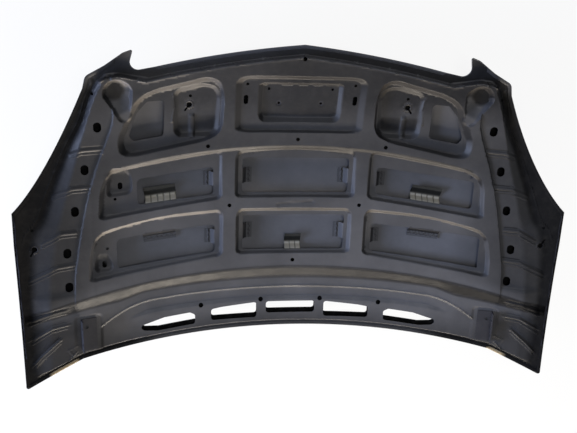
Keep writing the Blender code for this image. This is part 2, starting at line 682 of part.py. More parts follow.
def outline():
    """Edge of the skin, counter-clockwise from the nose."""
    corners, radii = [], []

    def put(point, radius=0.0):
        corners.append(point)
        radii.append(radius)

    for x in stations(0.0, NOSE_END_X, OUTLINE_STEP)[1:-1].tolist():
        put((x, nose_y(x)))
    put(NOTCH_CORNER, NOTCH_RADIUS)
    put(HORN_TIP, HORN_RADIUS)
    put(HORN_BACK, HORN_BACK_RADIUS)
    put(HORN_HOLLOW, HORN_HOLLOW_RADIUS)
    put(FRONT_CORNER, CORNER_RADIUS)
    end = (HALF_WIDTH, DIAGONAL_END_Y)
    for i in range(DIAGONAL_STEPS + 1):
        share = i / DIAGONAL_STEPS
        weights = ((1 - share)**2, 2 * share * (1 - share), share**2)
        pulls = (DIAGONAL_START, DIAGONAL_PULL, end)
        put(tuple(sum(w * p[k] for w, p in zip(weights, pulls)) for k in (0, 1)))
    put((HALF_WIDTH, SIDE_END_Y))
    put((REAR_CORNER_X, -HALF_LENGTH - REAR_CORNER_REACH), REAR_CORNER_RADIUS)
    for x in stations(REAR_STRAIGHT_X, 0.0, OUTLINE_STEP)[:-1].tolist():
        put((x, float(rear_y(x))))
    right = filleted([(0.0, HALF_LENGTH)] + corners + [(0.0, REAR_MIDDLE_Y)], [0.0] + radii + [0.0])
    half = split_long(right, OUTLINE_STEP)
    rear_end = half.index((0.0, REAR_MIDDLE_Y))
    half = half[:rear_end + 1]
    left = [(-x, y) for x, y in reversed(half[1:-1])]
    return list(reversed(half + left))


def outward(points, i):
    """Unit normal of a counter-clockwise outline at one point, and the miter length."""
    before, here, after = points[i - 1], points[i], points[(i + 1) % len(points)]
    n1 = Vector((here[1] - before[1], before[0] - here[0])).normalized()
    n2 = Vector((after[1] - here[1], here[0] - after[0])).normalized()
    middle = (n1 + n2).normalized()
    return middle, 1.0 / max(middle.dot(n1), 0.5)


def inset(points, distances):
    """Outline moved inwards, by one distance at each point."""
    made = []
    for i, (point, distance) in enumerate(zip(points, distances)):
        normal, miter = outward(points, i)
        made.append((point[0] - normal.x * distance * miter, point[1] - normal.y * distance * miter))
    return made


def lip_widths(points):
    """Hem lip width at each outline point: full on the edges, narrow at the horns."""
    made = []
    for x, y in points:
        at_horn = abs(abs(x) - HORN_TIP[0]) < HORN_ZONE_X and y > NOTCH_CORNER[1] - HORN_ZONE_Y
        made.append(LIP_AT_HORN if at_horn else LIP_WIDTH)
    return made


def thinned(points, tolerance):
    """Open run of points without those that lie on a straight line."""
    if len(points) < 3:
        return points
    start, end = np.array(points[0]), np.array(points[-1])
    run = end - start
    rest = np.array(points[1:-1]) - start
    away = np.abs(run[0] * rest[:, 1] - run[1] * rest[:, 0]) / max(np.hypot(*run), 1e-9)
    worst = int(np.argmax(away))
    if away[worst] < tolerance:
        return [points[0], points[-1]]
    return thinned(points[:worst + 2], tolerance)[:-1] + thinned(points[worst + 1:], tolerance)


def contour(measure, centre, value, tolerance=RING_TOLERANCE):
    """Closed line on which a form's measure has one value, found along rays."""
    angles = np.linspace(0, 2 * pi, RAYS, endpoint=False)
    low, high = np.zeros(RAYS), np.full(RAYS, RAY_REACH)
    for _ in range(RAY_HALVINGS):
        reach = (low + high) / 2
        inside = measure(centre[0] + reach * np.cos(angles), centre[1] + reach * np.sin(angles)) > value
        low, high = np.where(inside, reach, low), np.where(inside, high, reach)
    ring = list(zip(centre[0] + low * np.cos(angles), centre[1] + low * np.sin(angles)))
    half = RAYS // 2
    points = thinned(ring[:half + 1], tolerance)[:-1] + thinned(ring[half:] + ring[:1], tolerance)[:-1]
    return split_long([(float(x), float(y)) for x, y in points], RING_STEP)


def circle(centre, radius):
    """Points of a round hole."""
    count = 2 * round(pi * radius / HOLE_FACET)
    return [(centre[0] + radius * cos(2 * pi * i / count), centre[1] + radius * sin(2 * pi * i / count))
            for i in range(count)]


def oblong(centre, width, length, count=10):
    """Points of an oblong hole, long towards the nose."""
    points = []
    for i in range(count):
        angle = 2 * pi * (i + 0.5) / count
        lift = (length - width) / 2 * (1 if sin(angle) > 0 else -1)
        points.append((centre[0] + width / 2 * cos(angle), centre[1] + width / 2 * sin(angle) + lift))
    return points


def keyhole(centre, angle):
    """Round hole with a slit at one side."""
    half_turn = np.arcsin(KEYHOLE_SLIT_WIDTH / 2 / KEYHOLE_RADIUS)
    points = []
    for i in range(KEYHOLE_STEPS + 1):
        a = angle + half_turn + (2 * pi - 2 * half_turn) * i / KEYHOLE_STEPS
        points.append((centre[0] + KEYHOLE_RADIUS * cos(a), centre[1] + KEYHOLE_RADIUS * sin(a)))
    reach = KEYHOLE_RADIUS + KEYHOLE_SLIT
    for side in (-1, 1):
        points.append((centre[0] + reach * cos(angle) - side * KEYHOLE_SLIT_WIDTH / 2 * sin(angle),
                       centre[1] + reach * sin(angle) + side * KEYHOLE_SLIT_WIDTH / 2 * cos(angle)))
    return points


def on_both(places):
    """Right-half places and their twins."""
    return places + [(-x, y) for x, y in places]


def hole_outlines():
    """Outlines of all holes of the inner panel, apart from slots and large openings."""
    made = [circle(p, SMALL_HOLE_RADIUS) for p in on_both(SMALL_HOLES) + LEFT_HOLES + RIGHT_HOLES]
    made += [circle(p, RIB_HOLE_RADIUS) for p in on_both(RIB_HOLES) + MIDDLE_HOLES]
    made += [circle(p, DRAIN_HOLE_RADIUS) for p in on_both(DRAIN_HOLES)]
    made += [circle(p, STUD_HOLE_RADIUS) for p in on_both(STUD_HOLES)]
    made += [oblong(p, OBLONG_WIDTH, OBLONG_LENGTH) for p in on_both(OBLONG_HOLES)]
    made += [oblong(p, *SLOT_HOLE_SIZE) for p in on_both(SLOT_HOLES)]
    made += [oblong(p, *LEFT_SLOT_SIZE) for p in LEFT_SLOTS]
    made += [keyhole(centre, turn) for centre, turn in KEYHOLES]
    return made


def slot_outlines():
    """The five slots that go through both sheets."""
    corners = [SLOT_MIDDLE] + both_sides(SLOT_NEXT) + both_sides(SLOT_OUTER)
    made = []
    for outline_corners in corners:
        rounded = filleted(outline_corners, [SLOT_ROUND] * len(outline_corners), SLOT_TURN)
        made.append(split_long(rounded, RING_STEP))
    return made


def large_openings():
    """The eight large openings of the inner panel."""
    corners = [ROW_1_MIDDLE_OPENING, ROW_1_LEFT_OPENING, ROW_1_RIGHT_OPENING, ROW_2_MIDDLE_OPENING,
               ROW_2_LEFT_OPENING, ROW_2_RIGHT_OPENING] + both_sides(POCKET_OPENING)
    return [split_long(filleted(c, [OPENING_ROUND] * len(c), OPENING_TURN), RING_STEP) for c in corners]


def holds(loop, x, y):
    """Whether a closed outline holds each point."""
    inside = np.zeros(np.shape(x), dtype=bool)
    for (ax, ay), (bx, by) in zip(loop, loop[1:] + loop[:1]):
        crosses = (ay > y) != (by > y)
        with np.errstate(divide="ignore", invalid="ignore"):
            at = ax + (y - ay) * (bx - ax) / (by - ay)
        inside ^= crosses & (x < at)
    return inside


def sheet_mesh(loops, lines, edge_loop, cut, keep, grid, extra):
    """Plan triangulation of a sheet: loops and lines become its edges.

    cut(x, y) says where the sheet is open, keep(x, y) where it stays after all.
    """
    points, edges = [], []
    for loop in [edge_loop] + loops:
        first = len(points)
        points += loop
        edges += [(first + i, first + (i + 1) % len(loop)) for i in range(len(loop))]
    for line in lines:
        first = len(points)
        points += line
        edges += [(first + i, first + i + 1) for i in range(len(line) - 1)]
    points += extra
    known = np.array(points)
    xs = np.arange(-HALF_WIDTH, HALF_WIDTH, grid)
    ys = np.arange(-HALF_LENGTH, HALF_LENGTH, grid)
    for row, y in enumerate(ys):
        for x in xs + (grid / 2 if row % 2 else 0.0):
            clear = np.min(np.hypot(known[:, 0] - x, known[:, 1] - y)) > CLEAR_OF_RING * grid
            if clear and holds(edge_loop, np.array([x]), np.array([y]))[0]:
                points.append((float(x), float(y)))
    flat = [Vector(p) for p in points]
    made, _, faces, _, _, _ = delaunay_2d_cdt(flat, edges, [], 0, WELD)
    place = np.array([(v.x, v.y) for v in made])
    tri = np.array([f for f in faces])
    middle = place[tri].mean(axis=1)
    inside = holds(edge_loop, middle[:, 0], middle[:, 1])
    open_here = cut(middle[:, 0], middle[:, 1]) & ~keep(middle[:, 0], middle[:, 1])
    return place, tri[inside & ~open_here]


def node(name, mesh, colour=PAINT, roughness=0.55, metallic=0.0):
    """Object for one sub-part, with its own material."""
    material = bpy.data.materials.new(name)
    material.use_nodes = True
    shader = material.node_tree.nodes["Principled BSDF"]
    shader.inputs["Base Color"].default_value = (*colour, 1.0)
    shader.inputs["Roughness"].default_value = roughness
    shader.inputs["Metallic"].default_value = metallic
    mesh.materials.append(material)
    made = bpy.data.objects.new(name, mesh)
    parts.objects.link(made)
    return made


def bmesh_from_plan(place, triangles, heights):
    """Open surface from a plan triangulation and its heights."""
    work = bmesh.new()
    points = [work.verts.new((x, y, z)) for (x, y), z in zip(place.tolist(), heights.tolist())]
    for triangle in triangles.tolist():
        work.faces.new([points[i] for i in triangle])
    bmesh.ops.delete(work, geom=[v for v in work.verts if not v.link_faces], context="VERTS")
    bmesh.ops.remove_doubles(work, verts=work.verts, dist=MERGE)
    bmesh.ops.dissolve_degenerate(work, edges=work.edges, dist=MERGE / 3)
    bmesh.ops.triangulate(work, faces=work.faces)
    bmesh.ops.recalc_face_normals(work, faces=work.faces)
    if sum(f.normal.z for f in work.faces) < 0:
        bmesh.ops.reverse_faces(work, faces=work.faces)
    return work


def finished_mesh(name, work):
    """Mesh data from a finished bmesh."""
    mesh = bpy.data.meshes.new(name)
    work.to_mesh(mesh)
    work.free()
    return mesh


def nothing(x, y):
    """An empty region."""
    return np.zeros(np.shape(x), dtype=bool)


def stations(start, end, step):
    """Even places from start to end, about one step apart."""
    return np.linspace(start, end, round(abs(end - start) / step) + 1)


def flange_lines():
    """Inner edge of the flange, which lies on the skin, in short steps."""
    made = []
    ys = stations(FLANGE_LINE[0][1], FLANGE_LINE[-1][1], FLANGE_LINE_STEP)
    for side in (1, -1):
        made.append([(float(side * line_x(FLANGE_LINE, y)), float(y)) for y in ys])
    nose = stations(-FLANGE_LINE[0][0], FLANGE_LINE[0][0], FLANGE_LINE_STEP)
    made.append([(float(x), float(nose_fold_y(abs(x)))) for x in nose])
    rear = stations(-REAR_FLANGE_END_X, REAR_FLANGE_END_X, FLANGE_LINE_STEP)
    made.append([(float(x), float(rear_y(abs(x)) + REAR_FLANGE)) for x in rear])
    return made


def flange_points(edge):
    """Places inside the nose flange that both sheets share, so that they nest."""
    made = []
    known = np.array(edge)
    for y in np.arange(FLANGE_LINE[0][1], HALF_LENGTH, FLANGE_STEP):
        for x in np.arange(-HORN_REACH, HORN_REACH + MERGE, FLANGE_STEP):
            far = np.min(np.hypot(known[:, 0] - x, known[:, 1] - y)) > FLANGE_CLEAR
            raised = y > nose_fold_y(abs(x)) + FLANGE_CLEAR
            if far and raised and holds(edge, np.array([x]), np.array([y]))[0]:
                made.append((float(x), float(y)))
    return made


def field_lines():
    """Fold lines of the field, so that its steps lie on mesh edges."""
    made = flange_lines()
    for side in (1, -1):
        for points in (SLOPE_TOP_LINE, STRIP_LINE):
            made.append([(side * x, y) for x, y in points])
        made.append([(side * (x - STRIP_STEP), y) for x, y in STRIP_LINE])
        for y in (STRIP_END_Y, STRIP_END_Y - STRIP_STEP):
            ends = float(line_x(STRIP_LINE, y)), float(line_x(SLOPE_TOP_LINE, y))
            made.append([(side * x, y) for x in ends])
    across = stations(-BAND_END_X, BAND_END_X, FIELD_LINE_STEP)
    made.append([(float(x), float(BAND_TOP_Y - BAND_TOP_BOW * x**2)) for x in across])
    made.append([(float(x), float(band_bottom_y(x))) for x in across])
    ridge = stations(-RIDGE_END_X, RIDGE_END_X, FIELD_LINE_STEP)
    for back in (0.0, RIDGE_RAMP):
        made.append([(float(x), float(ridge_y(abs(x)) - back)) for x in ridge])
    nose = stations(-NOSE_RAMP_END_X, NOSE_RAMP_END_X, FIELD_LINE_STEP)
    made.append([(float(x), float(nose_fold_y(abs(x)) - NOSE_RAMP)) for x in nose])
    rear = stations(-REAR_RAMP_END_X, REAR_RAMP_END_X, FIELD_LINE_STEP)
    made.append([(float(x), float(rear_y(abs(x)) + REAR_FLANGE + REAR_RAMP)) for x in rear])
    return made


def make_inner_panel():
    """Pressed inner panel with its recesses, openings, holes and tongues."""
    rings = []
    for measure, _, centre in forms():
        rings += [contour(measure, centre, RING_LEVEL), contour(measure, centre, 1 - RING_LEVEL)]
    openings = large_openings() + slot_outlines() + hole_outlines()
    roots = [tongue_outline(t, -MERGE) for t in tongues()]
    rims = [tongue_outline(t, 0.0) for t in tongues()]
    lines = field_lines() + all_ribs() + tongue_folds()

    def cut(x, y):
        return np.any([holds(loop, x, y) for loop in openings], axis=0)

    def keep(x, y):
        return np.any([holds(loop, x, y) for loop in roots], axis=0)

    edge = inset(outline(), [SKIN_SHEET + SHEET_GAP] * len(outline()))
    place, triangles = sheet_mesh(rings + openings + rims, lines, edge, cut, keep, PANEL_GRID,
                                  flange_points(outline()))
    x, y = place[:, 0], place[:, 1]
    work = bmesh_from_plan(place, triangles, panel_z(x, y) + panel_level(x, y))
    made = bmesh.ops.extrude_face_region(work, geom=work.faces[:])
    for item in made["geom"]:
        if isinstance(item, bmesh.types.BMVert):
            item.co.z += PANEL_SHEET
    bmesh.ops.recalc_face_normals(work, faces=work.faces)
    return node("inner_panel", finished_mesh("inner_panel", work))


def make_outer_skin():
    """Outer skin: crowned sheet, folded up at its edge and back over the panel."""
    edge = outline()
    slots = slot_outlines()

    def cut(x, y):
        return np.any([holds(loop, x, y) for loop in slots], axis=0)

    rests = [corner for tongue in tongues() for corner in pad_corners(tongue)]
    rests += on_both(LATCH_NUTS)
    place, triangles = sheet_mesh(slots, flange_lines(), edge, cut, nothing, SKIN_GRID,
                                  [(0.0, CROWN_LOW_Y)] + rests + flange_points(edge))
    x, y = place[:, 0], place[:, 1]
    work = bmesh_from_plan(place, triangles, skin_z(x, y))
    bmesh.ops.reverse_faces(work, faces=work.faces)
    rim = [e for e in work.edges if len(e.link_faces) == 1 and not in_slot(e, slots)]
    made = bmesh.ops.extrude_edge_only(work, edges=rim)
    raised = [g for g in made["geom"] if isinstance(g, bmesh.types.BMVert)]
    for vert in raised:
        vert.co.z += HEM_FOLD
    lip_edges = [g for g in made["geom"] if isinstance(g, bmesh.types.BMEdge)
                 and all(v in set(raised) for v in g.verts)]
    made = bmesh.ops.extrude_edge_only(work, edges=lip_edges)
    inner = [g for g in made["geom"] if isinstance(g, bmesh.types.BMVert)]
    targets = inset(edge, lip_widths(edge))
    for vert in inner:
        nearest = min(range(len(edge)), key=lambda i: hypot(edge[i][0] - vert.co.x, edge[i][1] - vert.co.y))
        x1, y1 = targets[nearest]
        vert.co = (x1, y1, float(skin_z(x1, y1)) + HEM_FOLD)
    bmesh.ops.recalc_face_normals(work, faces=work.faces)
    if sum(f.normal.z * f.calc_area() for f in work.faces) > 0:
        bmesh.ops.reverse_faces(work, faces=work.faces)
    made = node("outer_skin", finished_mesh("outer_skin", work), roughness=0.35)
    solid = made.modifiers.new("sheet", "SOLIDIFY")
    solid.thickness = SKIN_SHEET
    solid.offset = -1.0
    solid.use_even_offset = True
    return made


def in_slot(edge, slots):
    """Whether an open edge of the skin belongs to a slot."""
    middle = (edge.verts[0].co + edge.verts[1].co) / 2
    for slot in slots:
        xs, ys = zip(*slot)
        near_x = min(xs) - SLOT_MARGIN < middle.x < max(xs) + SLOT_MARGIN
        if near_x and min(ys) - SLOT_MARGIN < middle.y < max(ys) + SLOT_MARGIN:
            return True
    return False


def seat_frame(x0, y0, height):
    """Placement whose XY plane is parallel to the crown at (x0, y0)."""
    z0, slope_x, slope_y = tangent_plane(x0, y0)
    normal = Vector((-slope_x, -slope_y, 1.0)).normalized()
    across = Vector((1.0, 0.0, slope_x)).normalized()
    along = normal.cross(across)
    turn = Matrix((across, along, normal)).transposed().to_4x4()
    return Matrix.Translation((x0, y0, z0 + height)) @ turn


def panel_underside(level):
    """Height of the lower face of the inner panel over the crown, at a level."""
    return SKIN_SHEET + SHEET_GAP + level


def plate(name, loops, thickness, place, **look):
    """Flat piece from closed outlines, the inner ones holes, centred on place."""
    data = bpy.data.curves.new(name, "CURVE")
    data.dimensions = "2D"
    data.fill_mode = "BOTH"
    data.extrude = thickness / 2
    for loop in loops:
        spline = data.splines.new("POLY")
        spline.points.add(len(loop) - 1)
        for point, (x, y) in zip(spline.points, loop):
            point.co = (x, y, 0.0, 1.0)
        spline.use_cyclic_u = True
    drawn = bpy.data.objects.new(name + "_outline", data)
    bpy.context.scene.collection.objects.link(drawn)
    drawn.matrix_world = place
    made = node(name, welded_mesh(drawn, name), **look)
    made.matrix_world = place
    bpy.data.objects.remove(drawn)
    return made


def welded_mesh(curve, name):
    """Closed mesh of a curve object, its caps welded on."""
    bpy.context.view_layer.update()
    mesh = bpy.data.meshes.new_from_object(curve.evaluated_get(bpy.context.evaluated_depsgraph_get()))
    mesh.name = name
    mesh.materials.clear()
    work = bmesh.new()
    work.from_mesh(mesh)
    bmesh.ops.remove_doubles(work, verts=work.verts, dist=WELD)
    bmesh.ops.recalc_face_normals(work, faces=work.faces)
    work.to_mesh(mesh)
    work.free()
    return mesh


def rectangle(width, length, corner, turn=PLATE_TURN):
    """Outline of a rounded rectangle round the origin."""
    corners = [(sx * width / 2, sy * length / 2) for sx, sy in ((-1, -1), (1, -1), (1, 1), (-1, 1))]
    return filleted(corners, [corner] * 4, turn)


def drill(target, centre, turn, radius):
    """Cut a round hole through one object, at a place in its own frame."""
    bpy.ops.mesh.primitive_cylinder_add(vertices=DRILL_SIDES, radius=radius, depth=4 * BRACKET_SHEET)
    cutter = bpy.context.object
    cutter.name = target.name + "_drill"
    for collection in list(cutter.users_collection):
        collection.objects.unlink(cutter)
    cutters.objects.link(cutter)
    cutter.matrix_world = target.matrix_world @ Matrix.Translation(centre) @ turn
    cutter.hide_render = True
    cutter.display_type = "WIRE"
    hole = target.modifiers.new("hole", "BOOLEAN")
    hole.object = cutter
    hole.operation = "DIFFERENCE"
    hole.solver = "EXACT"


def make_hinge(side, name):
    """Welded angle bracket on its flat seat, and the plate behind the panel."""
    x0, y0 = side * HINGE_CENTRE[0], HINGE_CENTRE[1]
    width, length = BRACKET_BASE
    under = seat_frame(x0, y0, panel_underside(HINGE_LEVEL))
    top = under @ Matrix.Translation((0.0, 0.0, PANEL_SHEET + SEAT_GAP))
    inner, outer = -side * width / 2, side * width / 2
    ear_in = outer - side * BRACKET_SHEET
    section = [(inner, 0.0), (outer, 0.0), (outer, BRACKET_EAR_HEIGHT), (ear_in, BRACKET_EAR_HEIGHT),
               (ear_in, BRACKET_SHEET), (inner, BRACKET_SHEET)]
    upright = Matrix.Rotation(radians(90), 4, "X")
    bracket = plate("hinge_bracket_" + name, [section], length, top @ upright, metallic=0.2)
    middle = (outer + ear_in) / 2
    for place in (-BRACKET_HOLE_SPACING / 2, BRACKET_HOLE_SPACING / 2):
        drill(bracket, (middle, BRACKET_HOLE_HEIGHT, -place),
              Matrix.Rotation(radians(90), 4, "Y"), BRACKET_HOLE_RADIUS)
    drill(bracket, (side * BRACKET_BASE_HOLE_X, BRACKET_SHEET / 2, -BRACKET_BASE_HOLE_Y),
          Matrix.Rotation(radians(90), 4, "X"), BRACKET_HOLE_RADIUS)
    size = [extent - 2 * (HINGE_SEAT_BLEND + REINFORCEMENT_MARGIN) for extent in HINGE_SEAT_SIZE]
    behind = under @ Matrix.Translation((0.0, 0.0, -SEAT_GAP - REINFORCEMENT_SHEET / 2))
    plate("hinge_reinforcement_" + name, [rectangle(*size, REINFORCEMENT_CORNER)],
          REINFORCEMENT_SHEET, behind, metallic=0.2)


def make_striker_plate():
    """Reinforcement under the latch floor, and the weld nuts on it."""
    x0, y0 = latch_centre()
    under = seat_frame(x0, y0, panel_underside(LATCH_LEVEL))
    _, _, slope = tangent_plane(x0, y0)
    stretch = hypot(1.0, slope)
    width = 2 * (LATCH_HALF - LATCH_WALL - LATCH_PLATE_MARGIN)
    length = (LATCH_FRONT_Y - LATCH_WALL_FRONT - LATCH_REAR_Y - LATCH_WALL_REAR) * stretch
    length -= 2 * LATCH_PLATE_MARGIN
    bores = [(side * x, (y - y0) * stretch) for side in (1, -1) for x, y in LATCH_NUTS]
    loops = [rectangle(width, length, REINFORCEMENT_CORNER)]
    loops += [circle(bore, NUT_BORE_RADIUS) for bore in bores]
    drop = SEAT_GAP + REINFORCEMENT_SHEET / 2
    plate("striker_reinforcement", loops, REINFORCEMENT_SHEET,
          under @ Matrix.Translation((0.0, 0.0, -drop)), metallic=0.2)
    nut_drop = 2 * SEAT_GAP + REINFORCEMENT_SHEET + NUT_HEIGHT / 2
    for number, (x, y) in enumerate(bores, 1):
        seat = under @ Matrix.Translation((x, y, -nut_drop))
        loops = [circle((0.0, 0.0), NUT_SIZE / 2), circle((0.0, 0.0), NUT_BORE_RADIUS)]
        plate(f"striker_nut_{number}", loops, NUT_HEIGHT, seat, colour=NUT_COLOUR, metallic=0.9)


def make_pads():
    """Mastic pads between the tongues' feet and the skin."""
    for number, tongue in enumerate(tongues(), 1):
        _, (dx, dy), _, _ = tongue
        x0, y0 = foot_middle(tongue)
        frame = seat_frame(x0, y0, SKIN_SHEET)
        space = (FOOT_LEVEL + SHEET_GAP) * frame.col[2].z
        heading = Matrix.Rotation(np.arctan2(dy, dx) - pi / 2, 4, "Z")
        seat = frame @ Matrix.Translation((0.0, 0.0, space / 2)) @ heading
        plate(f"mastic_pad_{number}", [rectangle(*PAD_SIZE, PAD_ROUND, PAD_TURN)], space - 2 * PAD_SEAT, seat,
              colour=MASTIC_COLOUR, roughness=0.8)


def make_sealer(side, name):
    """Wavy bead of sealer along the hem of one side."""
    data = bpy.data.curves.new(name, "CURVE")
    data.dimensions = "3D"
    data.bevel_depth = BEAD_RADIUS
    data.bevel_resolution = 0
    data.use_fill_caps = True
    spline = data.splines.new("POLY")
    ys = np.arange(BEAD_REAR_Y, BEAD_FRONT_Y, BEAD_WAVE_LENGTH / 4)
    spline.points.add(len(ys) - 1)
    for point, y in zip(spline.points, ys):
        x = side * (side_x(y) - BEAD_INSET + BEAD_WAVE * sin(2 * pi * y / BEAD_WAVE_LENGTH))
        point.co = (x, y, float(skin_z(x, y)) + HEM_FOLD + SEAT_GAP + BEAD_LIFT, 1.0)
    drawn = bpy.data.objects.new(name + "_line", data)
    bpy.context.scene.collection.objects.link(drawn)
    node(name, welded_mesh(drawn, name), colour=SEALER_COLOUR, roughness=0.7)
    bpy.data.objects.remove(drawn)


def clear_scene():
    """Remove what a new Blender file holds."""
    for old in list(bpy.data.objects):
        bpy.data.objects.remove(old)


clear_scene()
parts = bpy.data.collections.new("car_bonnet")
cutters = bpy.data.collections.new("cutters")
for collection in (parts, cutters):
    bpy.context.scene.collection.children.link(collection)
make_outer_skin()
make_inner_panel()
for side, name in ((-1, "left"), (1, "right")):
    make_hinge(side, name)
    make_sealer(side, "hem_sealer_" + name)
make_striker_plate()
make_pads()
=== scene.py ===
"""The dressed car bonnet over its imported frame."""
import bmesh
import bpy
import numpy as np
from math import cos, hypot, pi, radians, sin
from mathutils import Matrix, Vector
from mathutils.geometry import delaunay_2d_cdt
from mathutils.kdtree import KDTree


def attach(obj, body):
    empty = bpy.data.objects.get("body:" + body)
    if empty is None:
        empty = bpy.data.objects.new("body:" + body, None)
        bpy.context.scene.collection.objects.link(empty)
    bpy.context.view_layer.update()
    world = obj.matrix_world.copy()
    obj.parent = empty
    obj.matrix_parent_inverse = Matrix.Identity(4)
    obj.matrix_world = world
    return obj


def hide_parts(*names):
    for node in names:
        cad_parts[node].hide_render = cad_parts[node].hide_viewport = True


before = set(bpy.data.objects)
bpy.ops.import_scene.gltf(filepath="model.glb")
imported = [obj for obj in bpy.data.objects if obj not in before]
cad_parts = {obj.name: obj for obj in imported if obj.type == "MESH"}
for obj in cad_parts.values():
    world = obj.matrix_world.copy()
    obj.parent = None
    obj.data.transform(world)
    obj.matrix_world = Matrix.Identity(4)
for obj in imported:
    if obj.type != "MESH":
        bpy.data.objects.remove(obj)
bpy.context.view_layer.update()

scene = bpy.context.scene

# Sheet stock and the gap between the sheets
SKIN_SHEET = 0.0008
PANEL_SHEET = 0.0008
SHEET_GAP = 0.0005
HEM_FOLD = 2 * SKIN_SHEET + PANEL_SHEET + 2 * SHEET_GAP

# Outline of the skin, right half (x, y)
HALF_WIDTH = 0.76
HALF_LENGTH = 0.4765
NOSE_FALL = 0.1014
NOSE_BOW = 0.168
NOSE_END_X = 0.396
NOTCH_CORNER = (0.458, 0.3985)
HORN_TIP = (0.4405, 0.459)
HORN_BACK = (0.466, 0.4495)
HORN_HOLLOW = (0.512, 0.4165)
FRONT_CORNER = (0.5615, 0.3885)
DIAGONAL_START = (0.57, 0.356)
DIAGONAL_PULL = (0.682, 0.108)
DIAGONAL_END_Y = 0.03
DIAGONAL_STEPS = 48
SIDE_END_Y = -0.06
REAR_CORNER_X = HALF_WIDTH - 0.011
REAR_CORNER_REACH = 0.0026
REAR_STRAIGHT_X = 0.6
REAR_MIDDLE_Y = -0.3655
REAR_BOW = 0.146
NOTCH_RADIUS = 0.02
HORN_RADIUS = 0.004
HORN_BACK_RADIUS = 0.018
HORN_HOLLOW_RADIUS = 0.06
CORNER_RADIUS = 0.022
REAR_CORNER_RADIUS = 0.0065
OUTLINE_STEP = 0.008

# Crown of the skin: height over the lowest point
CROWN_ACROSS = 0.2016
CROWN_EDGE = 0.0889
CROWN_ALONG = 0.1251
CROWN_NOSE = 0.524
CROWN_LOW_Y = -0.0365
CROWN_NOSE_Y = 0.1135

# Hem lip folded back over the inner panel
LIP_WIDTH = 0.0095
LIP_AT_HORN = 0.0024
HORN_ZONE_X = 0.055
HORN_ZONE_Y = 0.015

# Levels of the inner panel above its flange
GRID_LEVEL = 0.03
STRIP_LEVEL = 0.022
REAR_STEP_LEVEL = 0.014
SLOT_LEVEL = 0.01
RECESS_LEVEL = 0.018
STRIKER_LEVEL = 0.021
LATCH_LEVEL = 0.012
POCKET_LEVEL = 0.016
KEY_FLOOR_LEVEL = 0.009
CUP_LEVEL = 0.006
HINGE_LEVEL = 0.012
FOOT_LEVEL = 0.003
RIB_HEIGHT = 0.0025

# Lines of the raised field of the inner panel: (inset from the half width, y)
FLANGE_INSETS = [(0.223, 0.372), (0.204, 0.331), (0.182, 0.266), (0.142, 0.19), (0.092, 0.071),
                 (0.067, 0.005), (0.026, -0.082), (0.022, -0.4), (0.028, -0.44)]
SLOPE_TOP_INSETS = [(0.24, 0.366), (0.22, 0.325), (0.196, 0.258), (0.162, 0.139), (0.149, 0.095),
                    (0.121, -0.018), (0.105, -0.11), (0.093, -0.179), (0.087, -0.425)]
STRIP_INSETS = [(0.26, 0.33), (0.258, 0.268), (0.238, 0.208), (0.211, 0.137), (0.179, 0.022),
                (0.154, -0.116), (0.146, -0.187), (0.142, -0.4)]
FLANGE_LINE = [(HALF_WIDTH - inset, y) for inset, y in FLANGE_INSETS]
SLOPE_TOP_LINE = [(HALF_WIDTH - inset, y) for inset, y in SLOPE_TOP_INSETS]
STRIP_LINE = [(HALF_WIDTH - inset, y) for inset, y in STRIP_INSETS]
NOSE_FLANGE = 0.027
HORN_LIFT = 0.033
HORN_LIFT_X = (0.4, 0.49)
NOSE_RAMP = 0.0055
STRIP_STEP = 0.006
REAR_FLANGE = 0.015
REAR_RAMP = 0.006
FIELD_CORNER_ROUND = 1.6

# Rear band, as y at the middle and at the side, and how it bows
BAND_TOP_Y = -0.168
BAND_BOTTOM_Y = -0.211
BAND_TOP_BOW = 0.175
BAND_BOTTOM_BOW = 0.125
BAND_BOTTOM_DIP = 0.014
BAND_BOTTOM_DIP_X = (0.42, 0.5)
RIDGE_Y = -0.2375
RIDGE_BOW = 0.12
RIDGE_RAMP = 0.006
RIDGE_CURL_X = 0.4
RIDGE_CURL = 2.3

# Recesses of the rib grid and the openings in them, right half or across the middle
RECESS_WALL_FRONT = 0.014
RECESS_WALL_REAR = 0.007
RECESS_WALL_SIDE = 0.011
RECESS_ROUND = 2.0
OPENING_ROUND = 0.011
ROW_1_MIDDLE = [(-0.173, 0.0395), (0.173, 0.0395), (0.173, 0.179), (0.0, 0.196), (-0.173, 0.179)]
ROW_1_SIDE = [(0.207, 0.037), (0.545, -0.009), (0.536, 0.105), (0.505, 0.136), (0.34, 0.1685),
              (0.207, 0.186)]
ROW_2_MIDDLE = [(-0.1685, -0.13), (0.1685, -0.13), (0.1685, 0.01), (-0.1685, 0.01)]
ROW_2_SIDE = [(0.2035, -0.133), (0.575, -0.186), (0.573, -0.09), (0.552, -0.044), (0.43, -0.007),
              (0.2035, 0.009)]
ROW_1_MIDDLE_OPENING = [(-0.152, 0.0535), (0.152, 0.0535), (0.152, 0.1555), (-0.152, 0.1555)]
ROW_1_LEFT_OPENING = [(-0.442, 0.0275), (-0.233, 0.0495), (-0.233, 0.1305), (-0.442, 0.1005)]
ROW_1_RIGHT_OPENING = [(0.233, 0.0495), (0.51, 0.0175), (0.51, 0.0995), (0.233, 0.1305)]
ROW_2_MIDDLE_OPENING = [(-0.148, -0.1195), (0.148, -0.1195), (0.148, -0.0145), (-0.148, -0.0145)]
ROW_2_LEFT_OPENING = [(-0.5, -0.1545), (-0.228, -0.1235), (-0.228, -0.0395), (-0.5, -0.0675)]
ROW_2_RIGHT_OPENING = [(0.228, -0.1235), (0.543, -0.1605), (0.543, -0.0665), (0.228, -0.0395)]

